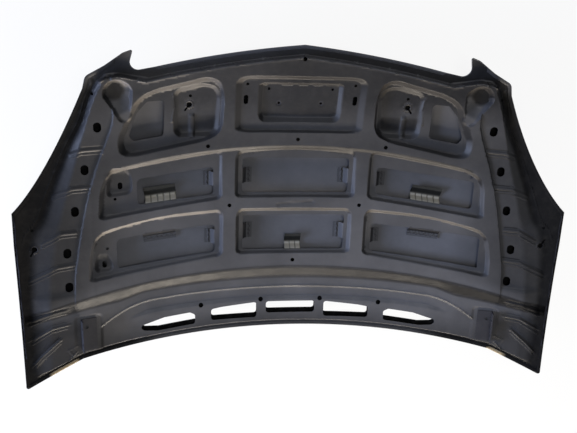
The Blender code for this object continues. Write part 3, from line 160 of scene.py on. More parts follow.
# Striker recess at the nose, and the deeper latch floor in it
STRIKER_HALF = 0.18
STRIKER_REAR_Y = 0.2305
STRIKER_FRONT_Y = 0.3945
STRIKER_PEAK_Y = 0.4015
STRIKER_WALL_SIDE = 0.022
STRIKER_WALL_FRONT = 0.0135
STRIKER_WALL_REAR = 0.008
LATCH_HALF = 0.116
LATCH_REAR_Y = 0.2575
LATCH_FRONT_Y = 0.3725
LATCH_WALL = 0.014
LATCH_WALL_REAR = 0.018
LATCH_WALL_FRONT = 0.005
STRIKER_ROUND = 2.0
LATCH_ROUND = 1.6

# Flanking front pockets with their openings, and the teardrop cups
POCKET = [(0.21, 0.232), (0.235, 0.21), (0.48, 0.16), (0.505, 0.19), (0.477, 0.285),
          (0.438, 0.343), (0.232, 0.395), (0.203, 0.356)]
POCKET_WALL = 0.01
POCKET_WALL_FRONT = 0.0145
POCKET_WALL_OUTER = 0.023
POCKET_OUTER_X = 0.45
POCKET_ROUND = 2.2
POCKET_OPENING = [(0.369, 0.222), (0.45, 0.209), (0.46, 0.226), (0.437, 0.288), (0.41, 0.319),
                  (0.365, 0.322)]
KEY_FLOOR = [(0.221, 0.217), (0.344, 0.213), (0.345, 0.353), (0.247, 0.376), (0.212, 0.35)]
KEY_FLOOR_WALL = 0.015
KEY_FLOOR_ROUND = 1.8
KEY_STEP_LEVEL = 0.0045
KEY_STEP_Y = (0.232, 0.28)
CUP_CENTRE = (0.482, 0.343)
CUP_TAIL = (0.468, 0.283)
CUP_FLAT_RADIUS = 0.0315
CUP_WALL = 0.008
CUP_TAIL_RADIUS = 0.02

# Slots at the rear, right half or across the middle
SLOT_MIDDLE = [(-0.073, -0.321), (0.073, -0.321), (0.073, -0.2855), (-0.073, -0.2855)]
SLOT_NEXT = [(0.101, -0.334), (0.236, -0.337), (0.236, -0.303), (0.205, -0.2975), (0.101, -0.2865)]
SLOT_OUTER = [(0.283, -0.344), (0.39, -0.356), (0.428, -0.353), (0.448, -0.34), (0.372, -0.317),
              (0.298, -0.3085), (0.283, -0.316)]
SLOT_ROUND = 0.008

# Round, oblong and keyhole openings: (x, y) on the right half
SMALL_HOLE_RADIUS = 0.004
RIB_HOLE_RADIUS = 0.0055
DRAIN_HOLE_RADIUS = 0.007
STUD_HOLE_RADIUS = 0.008
KEYHOLE_RADIUS = 0.007
KEYHOLE_SLIT = 0.015
KEYHOLE_SLIT_WIDTH = 0.005
KEYHOLE_STEPS = 24
OBLONG_WIDTH = 0.02
OBLONG_LENGTH = 0.028
OBLONG_HOLES = [(0.538, 0.2525), (0.575, 0.1365), (0.604, 0.0225), (0.628, -0.0935), (0.627, -0.1915)]
SMALL_HOLES = [(0.547, 0.3415), (0.715, -0.0235), (0.146, 0.3685), (0.297, 0.333), (0.087, 0.354)]
RIB_HOLES = [(0.249, 0.1925), (0.187, 0.0185)]
MIDDLE_HOLES = [(0.0, 0.4405), (0.0, 0.2115), (0.0, -0.15)]
DRAIN_HOLES = [(0.089, -0.2785), (0.266, -0.2885)]
STUD_HOLES = [(0.058, 0.3135)]
SLOT_HOLES = [(0.149, 0.3245)]
SLOT_HOLE_SIZE = (0.012, 0.026)
KEYHOLES = [((0.711, -0.0765), radians(60)), ((-0.711, -0.0765), radians(240)),
            ((0.3, 0.308), radians(-55)), ((-0.3, 0.308), radians(235))]
LEFT_PADS = [[(-0.524, 0.052), (-0.456, 0.058), (-0.449, 0.1), (-0.462, 0.138), (-0.517, 0.141)],
             [(-0.56, -0.163), (-0.507, -0.16), (-0.514, -0.106), (-0.56, -0.102)]]
LEFT_PAD_LEVEL = 0.011
LEFT_PAD_WALL = 0.009
LEFT_PAD_RAMP = 0.025
LEFT_PAD_ROUND = 1.8
LEFT_HOLES = [(-0.5005, 0.048), (-0.525, -0.0925)]
LEFT_SLOTS = [(-0.487, 0.083), (-0.534, -0.14)]
LEFT_SLOT_SIZE = (0.0125, 0.02)
RIGHT_HOLES = [(0.5, 0.113), (0.54, -0.156)]

# Ribs pressed across the side strip and its slope, right half
CROSS_RIBS = [[(0.528, 0.1915), (0.581, 0.19), (0.609, 0.178)],
              [(0.563, 0.0865), (0.609, 0.086), (0.658, 0.067)],
              [(0.603, -0.037), (0.642, -0.037), (0.69, -0.063)],
              [(0.609, -0.129), (0.655, -0.1315), (0.728, -0.166)],
              [(0.64, -0.26), (0.676, -0.263), (0.732, -0.285)],
              [(0.64, -0.304), (0.676, -0.308), (0.73, -0.34)],
              [(0.655, -0.345), (0.702, -0.385), (0.722, -0.406)]]
RIB_HALF_WIDTH = 0.0065

# Hinge seats
HINGE_CENTRE = (0.581, -0.34)
HINGE_SEAT_SIZE = (0.08, 0.118)
HINGE_SEAT_BLEND = 0.01
HINGE_SEAT_ROUND = 1.5

# Tongues that reach down to the skin inside the openings: (edge point, direction inwards, width)
TONGUE_DROP = 0.013
END_TONGUES = [((0.152, 0.102), (-1, 0), 0.044), ((-0.152, 0.102), (1, 0), 0.044),
               ((0.233, 0.094), (1, 0), 0.04), ((-0.233, 0.094), (-1, 0), 0.04),
               ((0.148, -0.064), (-1, 0), 0.046), ((-0.148, -0.064), (1, 0), 0.046),
               ((0.228, -0.078), (1, 0), 0.042), ((-0.228, -0.078), (-1, 0), 0.042)]
END_TONGUE_LENGTH = 0.028
REAR_TONGUES = [((0.378, 0.0327), (0.115, 1), 0.086), ((-0.378, 0.0342), (-0.105, 1), 0.086),
                ((0.0, -0.1195), (0, 1), 0.048)]
REAR_TONGUE_LENGTH = 0.044
REAR_TONGUE_VALLEY = 0.022
REAR_TONGUE_RISE = 0.036
REAR_TONGUE_LEVEL = 0.012
FRONT_TONGUES = [((0.385, -0.053), (-0.086, -1), 0.09), ((-0.385, -0.0557), (0.1029, -1), 0.09)]
FRONT_TONGUE_LENGTH = 0.028

# Mesh density of the dressed sheets
RAYS = 720
RAY_REACH = 0.45
RAY_HALVINGS = 34
RING_TOLERANCE = 0.00025
RING_STEP = 0.005
LINE_STEP = 0.006
FINE_STEP = 0.004
PANEL_GRID = 0.0058
SKIN_GRID = 0.016
CLEAR_OF_RING = 0.42
NEAREST = 0.0018
TONGUE_STEP_ALONG = 0.0022
TONGUE_STEP_ACROSS = 0.0026
# Step for the normals that the painted light and shade on the walls reads
WALL_LIGHT_NORMAL_STEP = 0.0012
MERGE = 0.0006
EASE = 0.22
CURVE_PIECES = 24
BAND_END = 0.7
ROW_STEP = 0.87
RAMP_SHARES = (-0.3, 0.0, 0.2, 0.4, 0.6, 0.8, 1.0, 1.3)
STRIP_SHARES = (0.0, 0.25, 0.5, 0.75, 1.0)
BESIDE_SHARES = (-1.15, -0.75, -0.4, 0.0, 0.4, 0.75, 1.15)
NOSE_CREST_OFFSETS = (-0.003, -0.0015, 0.0, 0.0015, 0.003, 0.0045)
BAND_TOP_OFFSETS = (0.003, 0.0, -0.003, -0.006)
BAND_BOTTOM_OFFSETS = (0.006, 0.003, 0.0, -0.003)
KEY_RIDGE_OFFSETS = (0.0, 0.002, 0.004, 0.008, 0.013, 0.017, 0.021)
FLANGE_BEAD_OFFSETS = (-0.004, -0.002, 0.0, 0.002, 0.004)
CUP_OFFSETS = (-0.008, -0.002, 0.004, 0.01, 0.018, 0.026)
CUP_POINTS = 40
KEY_RADII = (0.007, 0.0084, 0.0098, 0.0112, 0.0128, 0.018)
KEY_POINTS = 28
WELD = 1e-6
HEM_WELD = 1e-5
HEM_PIECES = 8
HEM_LEAST = 0.0008
HEM_EDGE = 0.0004
HOLE_FACET = 0.0016
EDGE_TURN = radians(8)
SLOT_TURN = radians(15)
OPENING_TURN = radians(12)
RING_VALUES = (-0.12, 0.001, 0.1, 0.22, 0.4, 0.6, 0.78, 0.9, 0.999)


def smooth(t):
    """Straight ramp from 0 to 1 with rounded ends."""
    t = np.clip(t, 0.0, 1.0)
    low, high = np.minimum(t, 1.0 - t), t > 0.5
    half = np.where(low < EASE, low * low / (2.0 * EASE), low - EASE / 2.0) / (1.0 - EASE)
    return np.where(high, 1.0 - half, half)


def between(value, low, high):
    """Rounded ramp from 0 at low to 1 at high."""
    return smooth((value - low) / (high - low))


def skin_z(x, y):
    """Height of the outer face of the skin."""
    nose = np.maximum(y - CROWN_NOSE_Y, 0.0)
    along = y - CROWN_LOW_Y
    return CROWN_ACROSS * x**2 + CROWN_EDGE * x**4 + CROWN_ALONG * along**2 + CROWN_NOSE * nose**2


def flat_level(x, y, x0, y0, level):
    """Level that makes the panel truly flat round (x0, y0), where it follows the crown's tangent."""
    step = 0.001
    slope_x = (skin_z(x0 + step, y0) - skin_z(x0 - step, y0)) / (2 * step)
    slope_y = (skin_z(x0, y0 + step) - skin_z(x0, y0 - step)) / (2 * step)
    return skin_z(x0, y0) + slope_x * (x - x0) + slope_y * (y - y0) + level - skin_z(x, y)


def nose_y(x):
    """Front edge of the skin."""
    return HALF_LENGTH - NOSE_FALL * x - NOSE_BOW * x**2


def nose_fold_y(x):
    """Line where the nose flange ends and the panel starts to rise."""
    return nose_y(x) - NOSE_FLANGE + HORN_LIFT * between(x, *HORN_LIFT_X)


def rear_y(x):
    """Rear edge of the skin, with straight ends."""
    bowed = REAR_MIDDLE_Y - REAR_BOW * x**2
    start = REAR_MIDDLE_Y - REAR_BOW * REAR_STRAIGHT_X**2
    share = (x - REAR_STRAIGHT_X) / (REAR_CORNER_X - REAR_STRAIGHT_X)
    return np.where(x < REAR_STRAIGHT_X, bowed, start + (-HALF_LENGTH - start) * share)


def sides(corners):
    """Start and end of each side of a closed outline."""
    return zip(corners, corners[1:] + corners[:1])


def walled(x, y, corners, widths, roundness):
    """How far inside a convex outline a point is, in wall widths.

    0 on the rim and 1 at the foot of the wall. corners run counter-clockwise.
    """
    total = 0.0
    for (start, end), width in zip(sides(corners), widths):
        run = (end[0] - start[0], end[1] - start[1])
        inward = (run[0] * (y - start[1]) - run[1] * (x - start[0])) / hypot(*run)
        total = total + np.maximum(roundness - inward / width, 0.0)**2
    return roundness - np.sqrt(total)


def mirrored(corners):
    """The same convex outline on the other side, still counter-clockwise."""
    return [(-x, y) for x, y in reversed(corners)]


def twin(points):
    """The same points on the left."""
    return [(-x, y) for x, y in points]


def recess_widths(corners):
    """Wall width of each side of a grid recess: steep behind, gentle in front."""
    widths = []
    for start, end in sides(corners):
        run_x, run_y = end[0] - start[0], end[1] - start[1]
        side = RECESS_WALL_FRONT if run_x < 0 else RECESS_WALL_REAR
        widths.append(RECESS_WALL_SIDE if abs(run_y) > abs(run_x) else side)
    return widths


def pocket_widths(corners):
    """Wall width of each side of a front pocket: wide in front and on the outside."""
    widths = []
    for start, end in sides(corners):
        front = POCKET_WALL_FRONT if end[0] < start[0] else POCKET_WALL
        outside = abs(start[0] + end[0]) / 2 > POCKET_OUTER_X
        widths.append(POCKET_WALL_OUTER if outside else front)
    return widths


def key_floor_level(y):
    """Level of the keyhole's floor, with the ramp down behind it."""
    return KEY_STEP_LEVEL + (KEY_FLOOR_LEVEL - KEY_STEP_LEVEL) * between(y, *KEY_STEP_Y)


def band_bottom_y(x):
    """Lower edge of the rear band, which dips near its ends."""
    dip = BAND_BOTTOM_DIP * between(np.abs(x), *BAND_BOTTOM_DIP_X)
    return BAND_BOTTOM_Y - BAND_BOTTOM_BOW * x**2 - dip


def from_line(x, y, start, end):
    """How far along a line, as a share, the nearest place to each point is, and how far away."""
    run_x, run_y = end[0] - start[0], end[1] - start[1]
    share = ((x - start[0]) * run_x + (y - start[1]) * run_y) / (run_x**2 + run_y**2)
    share = np.clip(share, 0.0, 1.0)
    return share, np.hypot(x - start[0] - run_x * share, y - start[1] - run_y * share)


def pebble(x, y, start, end, radius_start, radius_end, wall):
    """Inside measure of a teardrop between two circles."""
    share, away = from_line(x, y, start, end)
    return (radius_start + (radius_end - radius_start) * share - away) / wall


def rib_measure(x, y, points):
    """Inside measure of a rib that follows a bent line."""
    best = np.full(np.shape(x), -9.0)
    for start, end in zip(points, points[1:]):
        inside = pebble(x, y, start, end, RIB_HALF_WIDTH, RIB_HALF_WIDTH, RIB_HALF_WIDTH)
        best = np.maximum(best, inside)
    return best


def ridge_y(x):
    """The ridge line behind the band, which curls back round the hinges."""
    curl = np.maximum(x - RIDGE_CURL_X, 0.0)
    return RIDGE_Y - RIDGE_BOW * x**2 - RIDGE_CURL * curl**2


def sunk(level, measure, floor):
    """Carry a level down to a floor inside a walled outline."""
    share = smooth(measure)
    return level * (1.0 - share) + floor * share


def both_sides(corners):
    """An outline of the right half and its twin on the left."""
    return [corners, mirrored(corners)]


def grid_recesses():
    """Outlines of the six recesses between the ribs."""
    return [ROW_1_MIDDLE, ROW_2_MIDDLE] + both_sides(ROW_1_SIDE) + both_sides(ROW_2_SIDE)


def striker_outline():
    """Recess for the striker, with its peaked front edge."""
    return [(-STRIKER_HALF, STRIKER_REAR_Y), (STRIKER_HALF, STRIKER_REAR_Y),
            (STRIKER_HALF, STRIKER_FRONT_Y), (0.0, STRIKER_PEAK_Y), (-STRIKER_HALF, STRIKER_FRONT_Y)]


def latch_outline():
    """Deeper floor in the striker recess."""
    return [(-LATCH_HALF, LATCH_REAR_Y), (LATCH_HALF, LATCH_REAR_Y),
            (LATCH_HALF, LATCH_FRONT_Y), (-LATCH_HALF, LATCH_FRONT_Y)]


def latch_centre():
    """Middle of the flat part of the latch floor."""
    rear = LATCH_REAR_Y + LATCH_WALL_REAR
    front = LATCH_FRONT_Y - LATCH_WALL_FRONT
    return 0.0, (rear + front) / 2


def hinge_outline(side):
    """Flat seat under a hinge bracket."""
    x0, y0 = HINGE_CENTRE
    half_x, half_y = HINGE_SEAT_SIZE[0] / 2, HINGE_SEAT_SIZE[1] / 2
    corners = [(x0 - half_x, y0 - half_y), (x0 + half_x, y0 - half_y),
               (x0 + half_x, y0 + half_y), (x0 - half_x, y0 + half_y)]
    return corners if side > 0 else mirrored(corners)


def forms():
    """Every walled form pressed into the field, in pressing order.

    Each is (measure, floor, centre): measure(x, y) is 0 on the rim and 1 at the
    foot, floor(level, x, y) the level there, and centre a place inside.
    """
    made = []

    def add(corners, widths, roundness, floor):
        def measure(x, y):
            return walled(x, y, corners, widths, roundness)
        centre = tuple(np.mean(corners, axis=0))
        made.append((measure, floor, centre))

    for corners in grid_recesses():
        add(corners, recess_widths(corners), RECESS_ROUND, lambda level, x, y: RECESS_LEVEL)
    striker_widths = [STRIKER_WALL_REAR, STRIKER_WALL_SIDE, STRIKER_WALL_FRONT, STRIKER_WALL_FRONT,
                      STRIKER_WALL_SIDE]
    add(striker_outline(), striker_widths, STRIKER_ROUND, lambda level, x, y: STRIKER_LEVEL)
    add(latch_outline(), [LATCH_WALL_REAR, LATCH_WALL, LATCH_WALL_FRONT, LATCH_WALL], LATCH_ROUND,
        lambda level, x, y: flat_level(x, y, *latch_centre(), LATCH_LEVEL))
    for corners in both_sides(POCKET):
        add(corners, pocket_widths(corners), POCKET_ROUND, lambda level, x, y: POCKET_LEVEL)
    for corners in both_sides(KEY_FLOOR):
        add(corners, [KEY_FLOOR_WALL] * len(corners), KEY_FLOOR_ROUND, lambda level, x, y: key_floor_level(y))
    for corners in LEFT_PADS:
        widths = [LEFT_PAD_WALL] * (len(corners) - 2) + [LEFT_PAD_RAMP, LEFT_PAD_WALL]
        add(corners, widths, LEFT_PAD_ROUND, lambda level, x, y: LEFT_PAD_LEVEL)
    for side in (1, -1):
        centre = (side * CUP_CENTRE[0], CUP_CENTRE[1])
        made.append((cup_measure(side), lambda level, x, y: cup_floor(x, y), centre))
    for side in (1, -1):
        add(hinge_outline(side), [HINGE_SEAT_BLEND] * 4, HINGE_SEAT_ROUND,
            lambda level, x, y, s=side: flat_level(x, y, s * HINGE_CENTRE[0], HINGE_CENTRE[1], HINGE_LEVEL))
    return made


def cup_measure(side):
    """Teardrop cup: a round flat with a tail towards the rear."""
    start, end = (side * CUP_CENTRE[0], CUP_CENTRE[1]), (side * CUP_TAIL[0], CUP_TAIL[1])
    outer = CUP_FLAT_RADIUS + CUP_WALL

    def measure(x, y):
        return pebble(x, y, start, end, outer, CUP_TAIL_RADIUS, CUP_WALL)
    return measure


def tongues():
    """Every tongue in the openings: (edge point, unit direction, width, length)."""
    made = []
    groups = [(END_TONGUES, END_TONGUE_LENGTH), (REAR_TONGUES, REAR_TONGUE_LENGTH),
              (FRONT_TONGUES, FRONT_TONGUE_LENGTH)]
    for group, length in groups:
        for point, direction, width in group:
            size = hypot(*direction)
            made.append((point, (direction[0] / size, direction[1] / size), width, length))
    return made


def tongue_outline(tongue, start):
    """Corners of a tongue from its root, start behind the opening's edge."""
    (px, py), (dx, dy), width, length = tongue
    half = width / 2
    near = (px + dx * start, py + dy * start)
    far = (px + dx * length, py + dy * length)
    return [(near[0] + dy * half, near[1] - dx * half), (far[0] + dy * half, far[1] - dx * half),
            (far[0] - dy * half, far[1] + dx * half), (near[0] - dy * half, near[1] + dx * half)]


def filleted(corners, radii, turn=EDGE_TURN):
    """Outline with its corners rounded by arcs. A radius of 0 keeps a point."""
    points = []
    count = len(corners)
    for i, radius in enumerate(radii):
        here = Vector(corners[i])
        if radius == 0:
            points.append(corners[i])
            continue
        back = Vector(corners[i - 1]) - here
        on = Vector(corners[(i + 1) % count]) - here
        half = back.angle(on) / 2
        reach = radius * cos(half) / sin(half)
        centre = here + (back.normalized() + on.normalized()).normalized() * radius / sin(half)
        first, last = here + back.normalized() * reach, here + on.normalized() * reach
        sweep = (first - centre).angle_signed(last - centre)
        steps = max(1, round(abs(sweep) / turn))
        for k in range(steps + 1):
            angle = -sweep * k / steps
            arm = first - centre
            points.append((centre.x + arm.x * cos(angle) - arm.y * sin(angle),
                           centre.y + arm.x * sin(angle) + arm.y * cos(angle)))
    return points


def split_long(points, longest):
    """Closed outline with extra points on its long sides."""
    made = []
    for start, end in sides(points):
        pieces = max(1, round(hypot(end[0] - start[0], end[1] - start[1]) / longest))
        for k in range(pieces):
            share = k / pieces
            made.append((start[0] + (end[0] - start[0]) * share, start[1] + (end[1] - start[1]) * share))
    return made


def outline():
    """Edge of the skin, counter-clockwise from the nose."""
    corners, radii = [], []

    def put(point, radius=0.0):
        corners.append(point)
        radii.append(radius)

    for x in stations(0.0, NOSE_END_X, OUTLINE_STEP)[1:-1].tolist():
        put((x, nose_y(x)))
    put(NOTCH_CORNER, NOTCH_RADIUS)
    put(HORN_TIP, HORN_RADIUS)
    put(HORN_BACK, HORN_BACK_RADIUS)
    put(HORN_HOLLOW, HORN_HOLLOW_RADIUS)
    put(FRONT_CORNER, CORNER_RADIUS)
    end = (HALF_WIDTH, DIAGONAL_END_Y)
    for i in range(DIAGONAL_STEPS + 1):
        share = i / DIAGONAL_STEPS
        weights = ((1 - share)**2, 2 * share * (1 - share), share**2)
        pulls = (DIAGONAL_START, DIAGONAL_PULL, end)
        put(tuple(sum(w * p[k] for w, p in zip(weights, pulls)) for k in (0, 1)))
    put((HALF_WIDTH, SIDE_END_Y))
    put((REAR_CORNER_X, -HALF_LENGTH - REAR_CORNER_REACH), REAR_CORNER_RADIUS)
    for x in stations(REAR_STRAIGHT_X, 0.0, OUTLINE_STEP)[:-1].tolist():
        put((x, float(rear_y(x))))
    right = filleted([(0.0, HALF_LENGTH)] + corners + [(0.0, REAR_MIDDLE_Y)], [0.0] + radii + [0.0])
    half = split_long(right, OUTLINE_STEP)
    rear_end = half.index((0.0, REAR_MIDDLE_Y))
    half = half[:rear_end + 1]
    return list(reversed(half + mirrored(half[1:-1])))


def outward(points, i):
    """Unit normal of a counter-clockwise outline at one point, and the miter length."""
    before, here, after = points[i - 1], points[i], points[(i + 1) % len(points)]
    n1 = Vector((here[1] - before[1], before[0] - here[0])).normalized()
    n2 = Vector((after[1] - here[1], here[0] - after[0])).normalized()
    middle = (n1 + n2).normalized()
    return middle, 1.0 / max(middle.dot(n1), 0.5)


def inset(points, distances):
    """Outline moved inwards, by one distance at each point."""
    made = []
    for i, (point, distance) in enumerate(zip(points, distances)):
        normal, miter = outward(points, i)
        made.append((point[0] - normal.x * distance * miter, point[1] - normal.y * distance * miter))
    return made


def lip_width(x, y):
    """Hem lip width at an outline point: full on the edges, narrow at the horns."""
    at_horn = abs(abs(x) - HORN_TIP[0]) < HORN_ZONE_X and y > NOTCH_CORNER[1] - HORN_ZONE_Y
    return LIP_AT_HORN if at_horn else LIP_WIDTH


def thinned(points, tolerance):
    """Open run of points without those that lie on a straight line."""
    if len(points) < 3:
        return points
    start, end = np.array(points[0]), np.array(points[-1])
    run = end - start
    rest = np.array(points[1:-1]) - start
    away = np.abs(run[0] * rest[:, 1] - run[1] * rest[:, 0]) / max(np.hypot(*run), 1e-9)
    worst = int(np.argmax(away))
    if away[worst] < tolerance:
        return [points[0], points[-1]]
    return thinned(points[:worst + 2], tolerance)[:-1] + thinned(points[worst + 1:], tolerance)


def contour(measure, centre, value, tolerance=RING_TOLERANCE):
    """Closed line on which a form's measure has one value, found along rays."""
    angles = np.linspace(0, 2 * pi, RAYS, endpoint=False)
    low, high = np.zeros(RAYS), np.full(RAYS, RAY_REACH)
    for _ in range(RAY_HALVINGS):
        reach = (low + high) / 2
        inside = measure(centre[0] + reach * np.cos(angles), centre[1] + reach * np.sin(angles)) > value
        low, high = np.where(inside, reach, low), np.where(inside, high, reach)
    ring = list(zip(centre[0] + low * np.cos(angles), centre[1] + low * np.sin(angles)))
    half = RAYS // 2
    points = thinned(ring[:half + 1], tolerance)[:-1] + thinned(ring[half:] + ring[:1], tolerance)[:-1]
    return split_long([(float(x), float(y)) for x, y in points], RING_STEP)


def ring(centre, radius, count, side=1):
    """Points of a circle, or of its twin for side -1."""
    turns = [2 * pi * i / count for i in range(count)]
    return [(side * (centre[0] + radius * cos(turn)), centre[1] + radius * sin(turn)) for turn in turns]


def circle(centre, radius):
    """Points of a round hole."""
    return ring(centre, radius, 2 * round(pi * radius / HOLE_FACET))


def oblong(centre, width, length, count=32):
    """Points of an oblong hole, long towards the nose."""
    points = []
    for i in range(count):
        angle = 2 * pi * (i + 0.5) / count
        lift = (length - width) / 2 * (1 if sin(angle) > 0 else -1)
        points.append((centre[0] + width / 2 * cos(angle), centre[1] + width / 2 * sin(angle) + lift))
    return points


def keyhole(centre, angle):
    """Round hole with a slit at one side."""
    half_turn = np.arcsin(KEYHOLE_SLIT_WIDTH / 2 / KEYHOLE_RADIUS)
    points = []
    for i in range(KEYHOLE_STEPS + 1):
        a = angle + half_turn + (2 * pi - 2 * half_turn) * i / KEYHOLE_STEPS
        points.append((centre[0] + KEYHOLE_RADIUS * cos(a), centre[1] + KEYHOLE_RADIUS * sin(a)))
    reach = KEYHOLE_RADIUS + KEYHOLE_SLIT
    for side in (-1, 1):
        points.append((centre[0] + reach * cos(angle) - side * KEYHOLE_SLIT_WIDTH / 2 * sin(angle),
                       centre[1] + reach * sin(angle) + side * KEYHOLE_SLIT_WIDTH / 2 * cos(angle)))
    return points


def on_both(places):
    """Right-half places and their twins."""
    return places + twin(places)


def hole_outlines():
    """Outlines of all holes of the inner panel, apart from slots and large openings."""
    made = [circle(p, SMALL_HOLE_RADIUS) for p in on_both(SMALL_HOLES) + LEFT_HOLES + RIGHT_HOLES]
    made += [circle(p, RIB_HOLE_RADIUS) for p in on_both(RIB_HOLES) + MIDDLE_HOLES]
    made += [circle(p, DRAIN_HOLE_RADIUS) for p in on_both(DRAIN_HOLES)]
    made += [circle(p, STUD_HOLE_RADIUS) for p in on_both(STUD_HOLES)]
    made += [oblong(p, OBLONG_WIDTH, OBLONG_LENGTH) for p in on_both(OBLONG_HOLES)]
    made += [oblong(p, *SLOT_HOLE_SIZE) for p in on_both(SLOT_HOLES)]
    made += [oblong(p, *LEFT_SLOT_SIZE) for p in LEFT_SLOTS]
    made += [keyhole(centre, turn) for centre, turn in KEYHOLES]
    return made


def slot_outlines():
    """The five slots that go through both sheets."""
    corners = [SLOT_MIDDLE] + both_sides(SLOT_NEXT) + both_sides(SLOT_OUTER)
    made = []
    for outline_corners in corners:
        rounded = filleted(outline_corners, [SLOT_ROUND] * len(outline_corners), SLOT_TURN)
        made.append(split_long(rounded, RING_STEP))
    return made


def large_openings():
    """The eight large openings of the inner panel."""
    corners = [ROW_1_MIDDLE_OPENING, ROW_1_LEFT_OPENING, ROW_1_RIGHT_OPENING, ROW_2_MIDDLE_OPENING,
               ROW_2_LEFT_OPENING, ROW_2_RIGHT_OPENING] + both_sides(POCKET_OPENING)
    return [split_long(filleted(c, [OPENING_ROUND] * len(c), OPENING_TURN), RING_STEP) for c in corners]


def holds(loop, x, y):
    """Whether a closed outline holds each point."""
    inside = np.zeros(np.shape(x), dtype=bool)
    for (ax, ay), (bx, by) in sides(loop):
        crosses = (ay > y) != (by > y)
        with np.errstate(divide="ignore", invalid="ignore"):
            at = ax + (y - ay) * (bx - ax) / (by - ay)
        inside ^= crosses & (x < at)
    return inside


def stations(start, end, step):
    """Even places from start to end, about one step apart."""
    return np.linspace(start, end, round(abs(end - start) / step) + 1)


def curve_table(points):
    """Dense smooth curve through points given from front to rear, as (y, x) arrays."""
    pts = np.array(points)
    pts = np.vstack([2 * pts[0] - pts[1], pts, 2 * pts[-1] - pts[-2]])
    dense = []
    for i in range(1, len(pts) - 2):
        p0, p1, p2, p3 = pts[i - 1:i + 3]
        for t in np.linspace(0, 1, CURVE_PIECES, endpoint=False):
            dense.append(0.5 * (2 * p1 + (p2 - p0) * t + (2 * p0 - 5 * p1 + 4 * p2 - p3) * t**2
                                + (3 * p1 - p0 - 3 * p2 + p3) * t**3))
    dense.append(pts[-2])
    dense = np.array(dense)[::-1]
    return dense[:, 1], dense[:, 0]


FLANGE_CURVE = curve_table(FLANGE_LINE)
SLOPE_TOP_CURVE = curve_table(SLOPE_TOP_LINE)
STRIP_CURVE = curve_table(STRIP_LINE)


# Fine forms that only the dressed sheets have
STEP_Y = 0.196
STEP_BOW = 0.235
STEP_DROP = 0.005
STEP_END_X = 0.47
STEP_FADE = 0.06
STEP_RISE_Y = 0.13
STEP_RISE = 0.09
RIDGE_CREST = 0.001
RIDGE_CREST_WIDTH = 0.0045
SWELL = 0.0035
SWELL_START = 0.03
SWELL_WIDTH = 0.013
SWELL_END_X = 0.4
SWELL_FADE = 0.08
STRIP_MERGE_Y = -0.208
STRIP_MERGE = 0.012
STRIP_MERGE_DROP = 0.003
KEY_RIDGE_X = 0.285
KEY_RIDGE_STEEP = 0.004
KEY_RIDGE_TOP = 0.009
KEY_RIDGE_GENTLE = 0.011
KEY_RIDGE_Y = (0.213, 0.286)
KEY_RIDGE_FADE = 0.012
KEY_RIDGE_HEIGHT = 0.005
KEY_RING_RADIUS = 0.0098
KEY_RING_WIDTH = 0.0028
KEY_RING_HEIGHT = 0.0014
KEY_DENT_RADIUS = 0.025
KEY_DENT = 0.0016
KEY_DENT_END_X = 0.5
BLOCK_LENGTH = 0.0185
BLOCK_RISE = 0.0012
BLOCK_SIDE = 0.12
BLOCK_END = 0.002
WIDE_TONGUE = 0.06
WAVE_ALONG = 0.018
WAVE_WIDTH = 0.003
WAVE_HEIGHT = 0.0018
WAVE_SWING = 0.0014
WAVE_LENGTH = 0.014
CUP_DISC = (0.495, 0.35)
CUP_DISC_RADIUS = 0.0225
CUP_CONE = 0.048
CUP_CONE_RISE = 0.02
FLANGE_BEAD = 0.0012
FLANGE_BEAD_OFF = 0.0095
FLANGE_BEAD_WIDTH = 0.0034
FLANGE_BEAD_END_Y = -0.07
FLANGE_BEAD_FADE = 0.02
NOSE_CREST = 0.0012
NOSE_CREST_WIDTH = 0.0032
NOSE_CREST_END_X = 0.43
SLOT_LEDGE = 0.009
SLOT_LEDGE_FADE = 0.01

# Tone of the primer: painted light over the rear of the grid, painted shade towards the nose and down the
# slopes, near black at the edges
PRIMER_TINT = (0.98, 0.98, 1.05)
TONE_Y = (-0.42, -0.34, -0.29, -0.2, -0.07, 0.02, 0.1, 0.2, 0.3, 0.42)
TONE = (0.038, 0.05, 0.098, 0.09, 0.08, 0.075, 0.066, 0.038, 0.045, 0.042)
SLOPE_TONE = 0.034
SLOPE_TONE_X = (0.44, 0.64)
SLOPE_TONE_REAR = 0.14
SLOPE_TONE_REAR_Y = -0.205
SLOPE_TONE_REAR_REACH = 0.07
EDGE_TONE = 0.009
MIDDLE_EDGE_TONE = 0.038
EDGE_TONE_X = (0.36, 0.48)
NOSE_EDGE_Y = 0.345
NOSE_EDGE_FADE = 0.04
NOSE_EDGE_LIFT = 1.0
HORN_TONE_LIFT = 2.0
EDGE_DEPTH = 0.01

# Tones of the cups, the skin, the tongues and the places where the paint is off
CUP_DISC_TONE = 0.024
CUP_CONE_TONE = 0.062
CUP_INSIDE = 0.3
CUP_DISC_FADE = 0.01
# Painted shadow on the hidden skin, and painted light that lifts the skin seen in the openings
SKIN_SHADOW_TONE = 0.004
SKIN_LIGHT_LIFT = 1.6
SEEN_MARGIN = 0.03
FRONT_TONGUE_SHADE = 0.42
BLOCK_COLOUR = (0.34, 0.32, 0.27)
GROOVE_COLOUR = (0.05, 0.05, 0.045)
PLATE_COLOUR = (0.036, 0.035, 0.031)
CHIP_COLOUR = (0.33, 0.26, 0.16)
CHIPS = [[(-0.6701, -0.4419), (-0.6277, -0.4241)], [(0.6082, -0.4278), (0.6333, -0.4243)]]
CHIP_HALF_WIDTH = 0.018
CHIP_EDGE = 3.0
